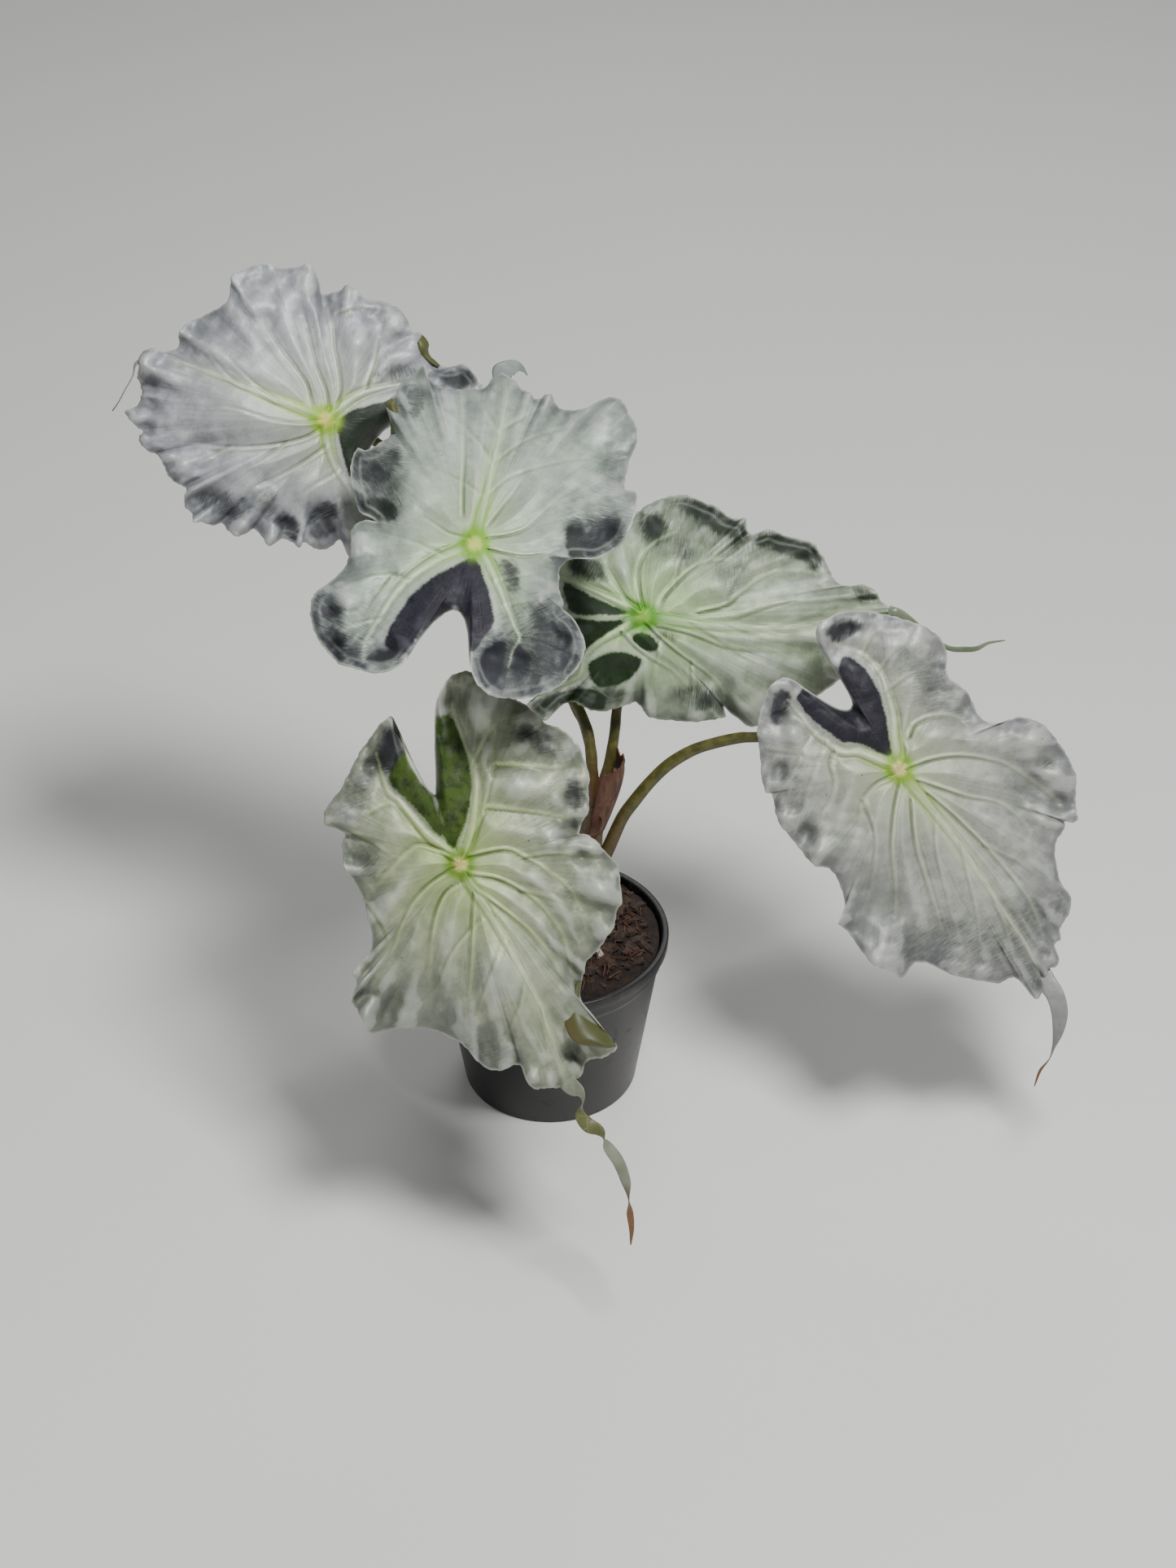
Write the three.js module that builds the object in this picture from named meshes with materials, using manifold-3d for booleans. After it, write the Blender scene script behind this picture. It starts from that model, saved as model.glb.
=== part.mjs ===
// A potted alocasia of the venom kind: five silver, lobed and ruffled leaves on olive stalks,
// rising from a short crown in a black plastic nursery pot of coir and bark.
// Millimetres, +Z up. The origin is the middle of the pot's underside; the plant faces -Y.

import * as THREE from "three";
import { mergeVertices } from "three/addons/utils/BufferGeometryUtils.js";
import Module from "manifold-3d";

const wasm = await Module();
wasm.setup();

// Driving dimensions
const POT_HEIGHT = 90;
const POT_RIM_RADIUS = 60;
const POT_BASE_RADIUS = 44;
const POT_WALL = 1.6;
const POT_LIP = 2.2;
const POT_LIP_HEIGHT = 6;
const POT_SHOULDER = 15;
const POT_SHOULDER_RADIUS = 55.5;
const POT_STEP = 2.5;
const POT_FLOOR = 2.4;
const POT_SIDES = 40;
const HOLE_RADIUS = 4.5;
const HOLE_RING = 31;
const HOLES = 6;

const SOIL_GAP = 0.4;
const SOIL_SIDES = 28;
const SOIL_EDGE_DROP = 3;
const SOIL_HEAP = 5;
const SOIL_ROUGHNESS = 1.6;
const CHIPS = 26;
const CHIP_SEED = 17;

const CROWN_ROUND = 10;
const FIT = 0.3;
const STALK_SIDES = 8;
const STALK_STEPS = 15;

const BLADE_THICKNESS = 1.1;
const BOSS_THICKNESS = 4.6;
const BOSS_REACH = 0.14;
const PANEL_RISE = 2.6;
const PANEL_WIDTH = 6.5;
const RINGS = [
  [0.07, 4], [BOSS_REACH, 4], [0.3, 4], [0.48, 2], [0.65, 2], [0.8, 1], [0.91, 1], [1, 1],
];
const RUFFLE_GAIN = 0.7;
const RUFFLE_SPAN = 5;
const RUFFLE_ONSET = 5;

// Leaves are drawn as they are seen from a point above and in front of the plant. A drawn point is
// [across, down] in units of the drawing, whose middle looks at AIM. A depth is in millimetres
// from AIM towards the eye.
const EYE_DISTANCE = 1500;
const DRAWING_FOCUS = 3676;
const DRAWING_MIDDLE = [722.5, 963.5];
const DRAWING_MM = EYE_DISTANCE / DRAWING_FOCUS;
const AIM = new THREE.Vector3(19.4, 43, 149.2);
const RIGHT = new THREE.Vector3(1, 0, 0);
const UP = new THREE.Vector3(0, 0.588, 0.809);
const TOWARDS = new THREE.Vector3(0, -0.809, 0.588);

// The five leaves. margin runs clockwise from the tip; slope is the depth gained per millimetre
// to the right and upwards; bend is the fall by the square of the distance across and up.
// A ripple is [first knot, last knot, waves, height].
const LEAVES = {
  a: {
    hub: [400, 516], depth: 98, slope: [-0.16, 0.05], bend: [0.002, 0.0025],
    ripples: [[55, 76, 5, 4], [3, 20, 3, 2.5], [82, 98, 4, 3]],
    margin: [
      [170, 441], [178, 430], [191, 428], [202, 432], [220, 426], [219, 411], [226, 400], [246, 390],
      [263, 381], [279, 371], [283, 351], [285, 338], [302, 330], [323, 324], [345, 329], [366, 328],
      [378, 324], [387, 334], [393, 350], [395, 361], [404, 361], [417, 357], [427, 350], [437, 354],
      [448, 367], [469, 370], [485, 376], [497, 387], [506, 404], [519, 411], [527, 422], [527, 434],
      [541, 449], [556, 450], [571, 447], [583, 458], [592, 475], [580, 490], [550, 497], [515, 505],
      [485, 520], [468, 534], [455, 552], [452, 580], [458, 615], [462, 650], [452, 680], [431, 686],
      [418, 664], [408, 671], [393, 676], [383, 672], [374, 666], [368, 673], [357, 665], [345, 663],
      [331, 671], [323, 662], [313, 650], [302, 656], [291, 659], [280, 652], [272, 643], [262, 646],
      [248, 642], [237, 641], [236, 632], [228, 623], [226, 611], [229, 600], [221, 596], [211, 590],
      [204, 579], [199, 568], [193, 558], [184, 556], [175, 548], [170, 538], [176, 530], [167, 524],
      [158, 514], [154, 505], [168, 499], [173, 489], [174, 481], [172, 471], [168, 462], [171, 451],
    ],
    veins: [
      [[400, 516], [375, 505], [340, 492], [300, 475], [250, 455], [205, 440]],
      [[400, 516], [430, 492], [455, 480], [490, 472], [520, 462]],
      [[400, 516], [402, 545], [412, 575], [428, 600], [438, 620]],
      [[403, 503], [400, 480], [390, 455], [383, 430], [377, 405], [373, 390]],
      [[412, 500], [418, 480], [416, 455], [411, 430], [408, 400], [400, 368]],
      [[450, 475], [460, 450], [465, 425], [467, 400], [462, 390]],
      [[383, 497], [375, 470], [351, 437], [335, 415], [325, 395]],
      [[395, 528], [370, 540], [330, 548], [280, 550], [240, 545]],
      [[400, 550], [370, 570], [340, 587], [310, 600]],
    ],
    drip: {
      path: [
        [180, 444, 0], [167, 447, -1], [163, 462, -3], [153, 480, -5], [145, 495, -7], [138, 505, -8],
      ],
      widths: [2.2, 1.5, 0.8, 0.7, 0.6, 0.5],
      twist: [0, 0.4, 0.8, 1, 1.2, 1.4],
    },
  },
  b: {
    hub: [583, 668], depth: 165, slope: [0, -0.65], bend: [0.0018, 0.0025],
    ripples: [[2, 14, 3, 3], [20, 36, 3, 4], [52, 64, 2, 3], [76, 96, 4, 4]],
    margin: [
      [617, 458], [632, 468], [641, 478], [650, 482], [656, 489], [664, 490], [670, 485], [678, 485],
      [682, 496], [692, 503], [707, 504], [721, 501], [736, 493], [752, 488], [762, 491], [769, 500],
      [774, 511], [781, 523], [783, 536], [781, 548], [775, 562], [771, 576], [768, 592], [769, 602],
      [781, 605], [782, 620], [779, 636], [774, 650], [766, 665], [755, 675], [741, 683], [728, 687],
      [712, 687], [700, 688], [689, 698], [687, 712], [688, 727], [692, 739], [692, 749], [702, 757],
      [712, 772], [718, 786], [719, 797], [716, 809], [709, 821], [698, 834], [684, 845], [667, 853],
      [650, 857], [632, 859], [615, 857], [601, 853], [590, 844], [583, 834], [578, 820], [576, 804],
      [575, 787], [573, 771], [569, 759], [562, 751], [556, 750], [547, 754], [535, 763], [525, 774],
      [515, 787], [506, 801], [497, 813], [485, 821], [469, 826], [450, 825], [433, 820], [417, 815],
      [406, 805], [396, 793], [387, 779], [383, 764], [381, 750], [383, 736], [390, 726], [403, 717],
      [415, 707], [425, 694], [430, 680], [430, 666], [431, 653], [438, 643], [450, 639], [463, 641],
      [453, 634], [443, 630], [438, 621], [435, 607], [431, 592], [431, 576], [433, 562], [439, 551],
      [448, 553], [458, 550], [470, 542], [480, 534], [479, 515], [473, 496], [481, 489], [488, 483],
      [492, 471], [501, 465], [510, 459], [521, 449], [526, 462], [535, 472], [552, 478], [570, 479],
      [587, 478], [598, 475], [604, 466],
    ],
    veins: [
      [[583, 668], [588, 645], [597, 610], [606, 570], [615, 530], [622, 490], [622, 468]],
      [[583, 668], [560, 677], [530, 690], [500, 712], [480, 735], [465, 760], [448, 790], [447, 815]],
      [[583, 668], [598, 690], [610, 715], [622, 745], [632, 770], [638, 785], [630, 800], [625, 820]],
      [[575, 662], [550, 655], [535, 645], [520, 635]],
      [[568, 632], [568, 600], [570, 560], [570, 520], [570, 480]],
      [[600, 660], [625, 657], [645, 650], [660, 638], [680, 620], [695, 607]],
      [[603, 675], [625, 680], [645, 683], [670, 680], [685, 675]],
      [[600, 645], [615, 625], [630, 605], [640, 590]],
      [[480, 710], [462, 735], [450, 755]],
    ],
    drip: {
      path: [
        [618, 478, 0], [615, 466, 2], [610, 456, 6], [613, 446, 9], [622, 441, 11], [632, 443, 12],
        [640, 449, 11], [646, 457, 10],
      ],
      widths: [5.5, 5, 4.2, 3.4, 2.6, 1.9, 1.2, 0.7],
      twist: [0, 0.2, 0.4, 0.7, 1, 1.2, 1.3, 1.4],
    },
  },
  c: {
    hub: [790, 757], depth: 77, slope: [-0.2, 0], bend: [0.0008, 0.0075],
    ripples: [[2, 14, 3, 3], [14, 34, 5, 3.5], [58, 86, 7, 3]],
    margin: [
      [1102, 750], [1085, 770], [1065, 800], [1045, 825], [1022, 843], [1003, 856], [975, 875],
      [950, 888], [932, 893], [918, 892], [908, 884], [898, 877], [889, 868], [892, 880], [883, 883],
      [868, 886], [849, 887], [830, 886], [812, 884], [797, 881], [791, 874], [788, 869], [780, 863],
      [771, 866], [757, 871], [741, 874], [726, 873], [714, 867], [704, 863], [692, 866], [680, 877],
      [669, 886], [658, 877], [648, 866], [655, 858], [668, 846], [682, 838], [694, 826], [703, 812],
      [706, 795], [700, 775], [695, 757], [680, 738], [660, 728], [640, 712], [632, 692], [640, 674],
      [665, 656], [695, 650], [725, 645], [750, 638], [770, 632], [784, 629], [794, 621], [806, 616],
      [821, 610], [837, 608], [852, 611], [868, 618], [883, 624], [893, 633], [905, 638], [916, 636],
      [917, 645], [919, 652], [924, 657], [933, 654], [945, 650], [957, 655], [972, 660], [988, 664],
      [1000, 667], [1006, 677], [1015, 690], [1021, 705], [1028, 715], [1041, 720], [1057, 718],
      [1068, 721], [1078, 729], [1082, 737], [1092, 746],
    ],
    veins: [
      [[790, 757], [850, 766], [900, 771], [950, 772], [1000, 767], [1060, 748], [1095, 746]],
      [[790, 757], [760, 740], [720, 722], [690, 710]],
      [[790, 757], [760, 775], [735, 790], [718, 805], [712, 830], [690, 842]],
      [[785, 750], [768, 735], [755, 715], [745, 700], [743, 685]],
      [[790, 750], [785, 725], [784, 700], [792, 680], [810, 665], [830, 655]],
      [[810, 750], [815, 735], [830, 718], [850, 700], [870, 690], [900, 687]],
      [[860, 752], [890, 745], [910, 730], [935, 712], [960, 703], [985, 702], [1005, 707]],
      [[795, 768], [812, 785], [830, 800], [850, 815], [870, 830], [885, 845], [888, 858]],
      [[765, 778], [780, 795], [800, 810], [825, 825], [845, 845]],
      [[810, 770], [850, 780], [890, 795], [930, 800], [990, 800]],
    ],
    drip: {
      path: [
        [1092, 750, 0], [1108, 755, -2], [1128, 770, -5], [1150, 788, -7], [1168, 797, -7],
        [1185, 798, -6], [1200, 797, -5], [1215, 790, -4], [1235, 787, -4],
      ],
      widths: [3.6, 3, 2, 1.5, 1.3, 1.3, 1.2, 1, 0.5],
      twist: [0, 0.2, 0.4, 0.5, 0.7, 0.9, 1.1, 0.9, 0.8],
    },
  },
  d: {
    hub: [565, 1062], depth: 160, slope: [0.05, 0.05], bend: [0.002, 0.0012],
    ripples: [[6, 22, 4, 3], [24, 36, 3, 3.5], [60, 76, 4, 3], [76, 90, 3, 3]],
    margin: [
      [697, 1336], [684, 1337], [672, 1337], [661, 1339], [652, 1335], [645, 1325], [641, 1311],
      [634, 1309], [617, 1315], [600, 1314], [586, 1304], [575, 1290], [564, 1281], [547, 1272],
      [530, 1266], [505, 1263], [481, 1265], [462, 1269], [451, 1268], [446, 1255], [439, 1242],
      [432, 1231], [435, 1219], [438, 1206], [433, 1196], [440, 1186], [449, 1178], [456, 1167],
      [457, 1147], [451, 1126], [448, 1109], [441, 1094], [432, 1079], [424, 1069], [421, 1053],
      [421, 1034], [424, 1026], [411, 1018], [399, 1015], [398, 1002], [405, 987], [418, 970],
      [427, 954], [436, 935], [443, 923], [453, 909], [463, 895], [474, 884], [483, 879], [490, 883],
      [494, 898], [498, 919], [504, 937], [512, 951], [522, 965], [534, 976], [535, 968], [535, 948],
      [534, 920], [534, 892], [535, 871], [539, 853], [549, 836], [561, 827], [575, 825], [595, 832],
      [615, 845], [632, 859], [642, 863], [656, 875], [670, 888], [687, 895], [701, 904], [711, 916],
      [718, 933], [724, 951], [723, 969], [724, 986], [722, 1000], [715, 1011], [711, 1024],
      [720, 1025], [731, 1032], [740, 1042], [750, 1053], [760, 1063], [762, 1081], [764, 1108],
      [758, 1120], [755, 1137], [747, 1151], [734, 1168], [722, 1180], [718, 1195], [715, 1205],
      [714, 1228], [730, 1249], [746, 1270], [758, 1285], [753, 1294], [740, 1300], [726, 1302],
      [718, 1310], [715, 1321], [705, 1329],
    ],
    veins: [
      [[565, 1062], [580, 1090], [600, 1120], [620, 1155], [645, 1200], [665, 1240], [695, 1330]],
      [[565, 1062], [550, 1045], [525, 1027], [505, 1003], [490, 985], [475, 970], [462, 925]],
      [[565, 1062], [575, 1035], [583, 1000], [585, 970], [582, 940], [572, 915], [555, 865]],
      [[600, 993], [630, 996], [660, 1000], [700, 1008]],
      [[570, 1055], [600, 1047], [625, 1045], [645, 1055], [670, 1070], [700, 1095], [718, 1140]],
      [[575, 1075], [610, 1080], [640, 1095], [665, 1115], [690, 1150], [700, 1190]],
      [[585, 1095], [620, 1120], [650, 1145], [675, 1175], [690, 1200]],
      [[610, 940], [640, 942], [680, 945], [700, 940]],
      [[560, 1055], [540, 1045], [515, 1038], [500, 1045], [485, 1060], [455, 1095]],
      [[557, 1068], [530, 1085], [510, 1105], [495, 1130], [480, 1170]],
      [[568, 1085], [550, 1095], [538, 1115], [530, 1145], [527, 1180], [525, 1210]],
      [[582, 1100], [580, 1140], [578, 1180], [575, 1220]],
    ],
    drip: {
      path: [
        [694, 1322, 0], [700, 1333, 2], [712, 1342, 4], [716, 1354, 4], [712, 1368, 3],
        [722, 1382, 2], [736, 1390, 1], [746, 1408, 0], [760, 1428, -1], [769, 1452, -2],
        [772, 1470, -2], [774, 1490, -3], [776, 1510, -3], [775, 1530, -3],
      ],
      widths: [4.2, 3.8, 3.4, 3, 2.8, 2.6, 1.6, 2.4, 2.4, 0.9, 1.5, 1.6, 1.1, 0.5],
      twist: [0, 0.3, 0.8, 1.3, 1.7, 2.2, 2.8, 3.1, 3.2, 4.2, 5.2, 6, 6.3, 6.5],
    },
    flap: {
      fold: [[714, 1228], [730, 1249], [746, 1270], [758, 1285]],
      free: [[694, 1257], [699, 1271], [716, 1281], [744, 1288]],
      lift: 5,
    },
  },
  e: {
    hub: [1105, 945], depth: 84, slope: [-0.12, 0.05], bend: [0.0015, 0.0012],
    ripples: [[3, 20, 3, 3], [46, 60, 2, 3], [60, 82, 4, 4]],
    margin: [
      [1284, 1203], [1283, 1212], [1276, 1228], [1267, 1223], [1259, 1213], [1250, 1203],
      [1241, 1202], [1229, 1208], [1209, 1206], [1186, 1202], [1163, 1195], [1143, 1185],
      [1129, 1182], [1120, 1187], [1109, 1201], [1092, 1193], [1076, 1187], [1065, 1177],
      [1053, 1161], [1043, 1146], [1030, 1136], [1033, 1128], [1038, 1113], [1035, 1095],
      [1028, 1079], [1018, 1067], [1001, 1064], [992, 1055], [979, 1038], [963, 1020], [955, 1005],
      [951, 989], [949, 976], [940, 973], [936, 954], [934, 930], [931, 907], [932, 884],
      [937, 864], [943, 848], [953, 837], [965, 833], [977, 837], [988, 845], [1000, 853],
      [1014, 862], [1029, 870], [1041, 872], [1047, 868], [1045, 858], [1039, 846], [1027, 826],
      [1014, 806], [1005, 792], [1003, 774], [1012, 763], [1026, 755], [1041, 751], [1061, 750],
      [1080, 754], [1100, 758], [1119, 764], [1137, 770], [1151, 780], [1160, 792], [1164, 806],
      [1163, 821], [1167, 833], [1178, 842], [1190, 852], [1196, 866], [1202, 878], [1213, 887],
      [1229, 888], [1241, 884], [1252, 881], [1268, 884], [1282, 891], [1295, 904], [1302, 915],
      [1311, 927], [1317, 940], [1323, 958], [1322, 977], [1322, 993], [1325, 1005], [1319, 1011],
      [1309, 1010], [1308, 1018], [1301, 1029], [1296, 1044], [1299, 1067], [1305, 1087],
      [1315, 1100], [1316, 1116], [1309, 1130], [1303, 1141], [1303, 1154], [1296, 1161],
      [1301, 1176], [1299, 1187], [1288, 1192],
    ],
    veins: [
      [[1105, 945], [1125, 970], [1150, 1000], [1180, 1040], [1210, 1085], [1260, 1160], [1278, 1200]],
      [[1105, 945], [1100, 910], [1098, 880], [1090, 850], [1080, 825], [1060, 805], [1020, 790]],
      [[1105, 945], [1080, 935], [1055, 925], [1035, 925], [1015, 912], [1000, 900], [968, 860]],
      [[1117, 905], [1125, 890], [1150, 880], [1175, 882], [1185, 890]],
      [[1115, 945], [1140, 935], [1165, 930], [1190, 930], [1220, 935], [1245, 945], [1300, 985]],
      [[1130, 960], [1160, 970], [1190, 980], [1220, 985], [1240, 995], [1260, 1015]],
      [[1140, 975], [1175, 1005], [1210, 1040], [1240, 1075], [1265, 1110], [1280, 1150]],
      [[1095, 955], [1075, 965], [1060, 985], [1055, 1010]],
      [[1105, 965], [1098, 1000], [1095, 1040], [1098, 1080], [1100, 1120]],
      [[1120, 985], [1125, 1040], [1140, 1090], [1155, 1140]],
      [[1025, 925], [1020, 940], [1025, 960], [1020, 985], [1010, 1000]],
    ],
    drip: {
      path: [
        [1280, 1198, 0], [1287, 1210, 1], [1297, 1224, 2], [1302, 1245, 2], [1300, 1268, 1],
        [1294, 1289, 0], [1289, 1302, -1], [1278, 1316, -2], [1271, 1335, -3],
      ],
      widths: [4, 3.6, 3, 2.9, 2.6, 1, 1.6, 1.3, 0.5],
      twist: [0, 0.3, 0.6, 0.7, 0.9, 1.8, 2.6, 3, 3.2],
    },
  },
};

// Stalks, from the crown to under the hub: drawn points with their depths, and end radii.
const STALKS = {
  a: {
    path: [
      [731, 1015, 15], [727, 970, 25], [727, 930, 31], [723, 908, 33], [717, 887, 32],
      [706, 866, 30], [680, 800, 30], [640, 730, 34], [580, 660, 45], [520, 590, 58],
      [450, 535, 76], [410, 518, 89], [400, 516, 95],
    ],
    radii: [2.9, 2.2],
  },
  b: {
    path: [
      [731, 1003, 32], [729, 965, 40], [727, 940, 43], [724, 908, 45], [718, 887, 45],
      [708, 866, 46], [692, 848, 50], [668, 822, 62], [645, 790, 82], [620, 735, 118],
      [592, 685, 150], [583, 668, 162],
    ],
    radii: [2.9, 2.3],
  },
  c: {
    path: [
      [734, 1010, 24], [738, 975, 32], [748, 940, 37], [753, 915, 40], [756, 893, 42],
      [758, 872, 43], [765, 830, 50], [778, 790, 61], [787, 766, 70], [790, 757, 74],
    ],
    radii: [2.9, 2.2],
  },
  d: {
    path: [
      [704, 1115, 1], [707, 1075, 21], [693, 1048, 48], [660, 1032, 86], [617, 1033, 127],
      [580, 1048, 150], [565, 1062, 157],
    ],
    radii: [3.1, 2.3],
  },
  e: {
    path: [
      [714, 1110, -4], [728, 1080, 3], [747, 1043, 13], [764, 1006, 22], [779, 985, 28],
      [798, 962, 33], [821, 940, 38], [849, 923, 42], [875, 914, 46], [907, 907, 51],
      [930, 906, 54], [1000, 905, 60], [1060, 915, 68], [1095, 935, 77], [1105, 945, 81],
    ],
    radii: [3.5, 2.3],
  },
};

// The crown's axis in millimetres, with its half widths across and from front to back
const CROWN = [
  { at: [12, 12, 73], half: [8, 8] },
  { at: [12, 12, 86], half: [CROWN_ROUND + 1, CROWN_ROUND + 1] },
  { at: [13, 12, 98], half: [CROWN_ROUND, CROWN_ROUND + 1] },
  { at: [16, 12, 115], half: [8, CROWN_ROUND] },
  { at: [19.5, 12, 132], half: [6.4, CROWN_ROUND] },
  { at: [22, 12, 148], half: [5.4, 11.2] },
  { at: [23.5, 12, 161], half: [5.2, 12] },
];
const SHEATH_THICKNESS = 0.8;
const SHEATH = [
  { at: [22.1, 12, 149], half: [5.4, 11.2] },
  { at: [24.6, 12, 163], half: [7.6, 12.4] },
  { at: [27.2, 11, 178], half: [8.6, 13] },
  { at: [28.6, 10, 189], half: [7.4, 11] },
];
const SHEATH_TURN = [-1.9, 1.15];

const COLOURS = {
  blade: 0xb4bab2, stalk: 0x5a5a30, crown: 0x6f5a3c, sheath: 0xa0664e, pot: 0x17171a, soil: 0x33221a,
};

// Geometry helpers

function seen([across, down], depth) {
  const scale = (EYE_DISTANCE - depth) / DRAWING_FOCUS;
  return AIM.clone()
    .addScaledVector(RIGHT, (across - DRAWING_MIDDLE[0]) * scale)
    .addScaledVector(UP, (DRAWING_MIDDLE[1] - down) * scale)
    .addScaledVector(TOWARDS, depth);
}

function seeded(seed) {
  let state = seed;
  return () => {
    state = (state * 1103515245 + 12345) % 2147483648;
    return state / 2147483648;
  };
}

function bodyFrom(points, triangles) {
  const vertProperties = new Float32Array(points.flatMap((p) => [p.x, p.y, p.z]));
  const triVerts = new Uint32Array(triangles.flat());
  return new wasm.Manifold(new wasm.Mesh({ numProp: 3, vertProperties, triVerts }));
}

function bodyOf(geometry) {
  geometry.deleteAttribute("normal");
  geometry.deleteAttribute("uv");
  const merged = mergeVertices(geometry);
  const vertProperties = new Float32Array(merged.attributes.position.array);
  const triVerts = new Uint32Array(merged.index.array);
  return new wasm.Manifold(new wasm.Mesh({ numProp: 3, vertProperties, triVerts }));
}

function meshOf(name, body, colour, roughness) {
  const { vertProperties, triVerts } = body.getMesh();
  const geometry = new THREE.BufferGeometry();
  geometry.setAttribute("position", new THREE.BufferAttribute(new Float32Array(vertProperties), 3));
  geometry.setIndex(new THREE.BufferAttribute(new Uint32Array(triVerts), 1));
  geometry.computeVertexNormals();
  const material = new THREE.MeshStandardMaterial({ color: colour, roughness, metalness: 0 });
  const mesh = new THREE.Mesh(geometry, material);
  mesh.name = name;
  return mesh;
}

// A closed body through rings of equally many points, with a fan at each end
function loft(rings) {
  const sides = rings[0].length;
  const points = rings.flat();
  const triangles = [];
  for (let i = 0; i + 1 < rings.length; i += 1) {
    for (let k = 0; k < sides; k += 1) {
      const next = (k + 1) % sides;
      const here = i * sides;
      triangles.push([here + k, here + next, here + sides + k]);
      triangles.push([here + next, here + sides + next, here + sides + k]);
    }
  }
  for (const [ring, start] of [[rings[0], true], [rings[rings.length - 1], false]]) {
    const middle = points.length;
    const base = start ? 0 : (rings.length - 1) * sides;
    points.push(ring.reduce((sum, p) => sum.add(p), new THREE.Vector3()).divideScalar(sides));
    for (let k = 0; k < sides; k += 1) {
      const next = (k + 1) % sides;
      triangles.push(start ? [middle, base + next, base + k] : [middle, base + k, base + next]);
    }
  }
  return bodyFrom(points, triangles);
}

function ringAt(centre, a, b, sides) {
  return Array.from({ length: sides }, (_, k) => {
    const turn = (2 * Math.PI * k) / sides;
    return centre.clone().addScaledVector(a, Math.cos(turn)).addScaledVector(b, Math.sin(turn));
  });
}

// Pot and substrate

const SHOULDER_Z = POT_HEIGHT - POT_SHOULDER;
const NECK_RADIUS = POT_RIM_RADIUS - POT_LIP;
const NECK_INSIDE = NECK_RADIUS - POT_WALL;

function makePot() {
  const lipZ = POT_HEIGHT - POT_LIP_HEIGHT;
  const outside = [
    [0, 0], [POT_BASE_RADIUS - 1.5, 0], [POT_BASE_RADIUS, 1.5], [POT_SHOULDER_RADIUS, SHOULDER_Z],
    [NECK_RADIUS - 0.6, SHOULDER_Z + POT_STEP], [NECK_RADIUS, lipZ],
    [POT_RIM_RADIUS - 0.3, lipZ], [POT_RIM_RADIUS, POT_HEIGHT - 1], [POT_RIM_RADIUS - 1, POT_HEIGHT],
  ];
  const inside = [
    [NECK_INSIDE, POT_HEIGHT], [NECK_INSIDE - 0.6, SHOULDER_Z + POT_STEP],
    [POT_SHOULDER_RADIUS - POT_WALL - 0.4, SHOULDER_Z],
    [POT_BASE_RADIUS - POT_WALL, POT_FLOOR], [0, POT_FLOOR],
  ];
  const profile = [...outside, ...inside].map(([r, z]) => new THREE.Vector2(r, z));
  const wall = new THREE.LatheGeometry(profile, POT_SIDES).rotateX(Math.PI / 2);
  let pot = bodyOf(wall);
  for (let k = 0; k < HOLES; k += 1) {
    const turn = (2 * Math.PI * (k + 0.5)) / HOLES;
    const drill = new THREE.CylinderGeometry(HOLE_RADIUS, HOLE_RADIUS, 4 * POT_FLOOR, 12);
    drill.rotateX(Math.PI / 2).translate(HOLE_RING * Math.cos(turn), HOLE_RING * Math.sin(turn), 0);
    pot = pot.subtract(bodyOf(drill));
  }
  return pot;
}

// Height of the heaped soil at a place over the pot
function soilHeight(x, y) {
  const out = Math.min(1, Math.hypot(x, y) / POT_RIM_RADIUS);
  const lumps = Math.sin(x * 0.31 + 1.2) * Math.cos(y * 0.27 - 0.6)
    + 0.6 * Math.sin(x * 0.11 - y * 0.53);
  const heap = SOIL_HEAP * (1 - out ** 3) + SOIL_ROUGHNESS * lumps * (1 - out ** 6);
  return POT_HEIGHT - SOIL_EDGE_DROP + heap;
}

function makeSubstrate() {
  const topRadius = NECK_INSIDE - 0.6 - SOIL_GAP;
  const widths = [
    [POT_BASE_RADIUS - POT_WALL - 2 * SOIL_GAP, POT_FLOOR + SOIL_GAP],
    [POT_SHOULDER_RADIUS - POT_WALL - 0.4 - SOIL_GAP, SHOULDER_Z],
    [topRadius, SHOULDER_Z + POT_STEP + 1],
  ];
  const flatRing = (r, z) => ringAt(
    new THREE.Vector3(0, 0, z), new THREE.Vector3(r, 0, 0), new THREE.Vector3(0, r, 0), SOIL_SIDES,
  );
  const rings = widths.map(([r, z]) => flatRing(r, z));
  for (const share of [1, 0.86, 0.68, 0.48, 0.26]) {
    const ring = flatRing(topRadius * share, 0);
    rings.push(ring.map((p) => p.setZ(soilHeight(p.x, p.y) - (share === 1 ? 1.5 : 0))));
  }
  let soil = loft(rings);
  const random = seeded(CHIP_SEED);
  for (let k = 0; k < CHIPS; k += 1) {
    const turn = 2 * Math.PI * random();
    const out = 49 * Math.sqrt(random());
    const x = out * Math.cos(turn);
    const y = out * Math.sin(turn);
    const chip = new THREE.BoxGeometry(5 + 6 * random(), 3 + 3 * random(), 2.6 + 1.6 * random());
    chip.rotateX(0.5 * (random() - 0.5)).rotateY(0.7 * (random() - 0.5)).rotateZ(Math.PI * random());
    chip.translate(x, y, soilHeight(x, y) + 0.2);
    soil = soil.add(bodyOf(chip));
  }
  return soil.subtract(makeCrown(FIT));
}

// Crown, sheath and stalks

function sectionRings(stations, sides) {
  return stations.map(({ at, half }) => ringAt(
    new THREE.Vector3(...at), new THREE.Vector3(half[0], 0, 0), new THREE.Vector3(0, half[1], 0), sides,
  ));
}

function makeCrown(grow) {
  const stations = CROWN.map(({ at, half }, i) => (
    { at: [at[0], at[1], at[2] - (i === 0 ? grow : 0)], half: [half[0] + grow, half[1] + grow] }
  ));
  return loft(sectionRings(stations, 16));
}

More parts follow.
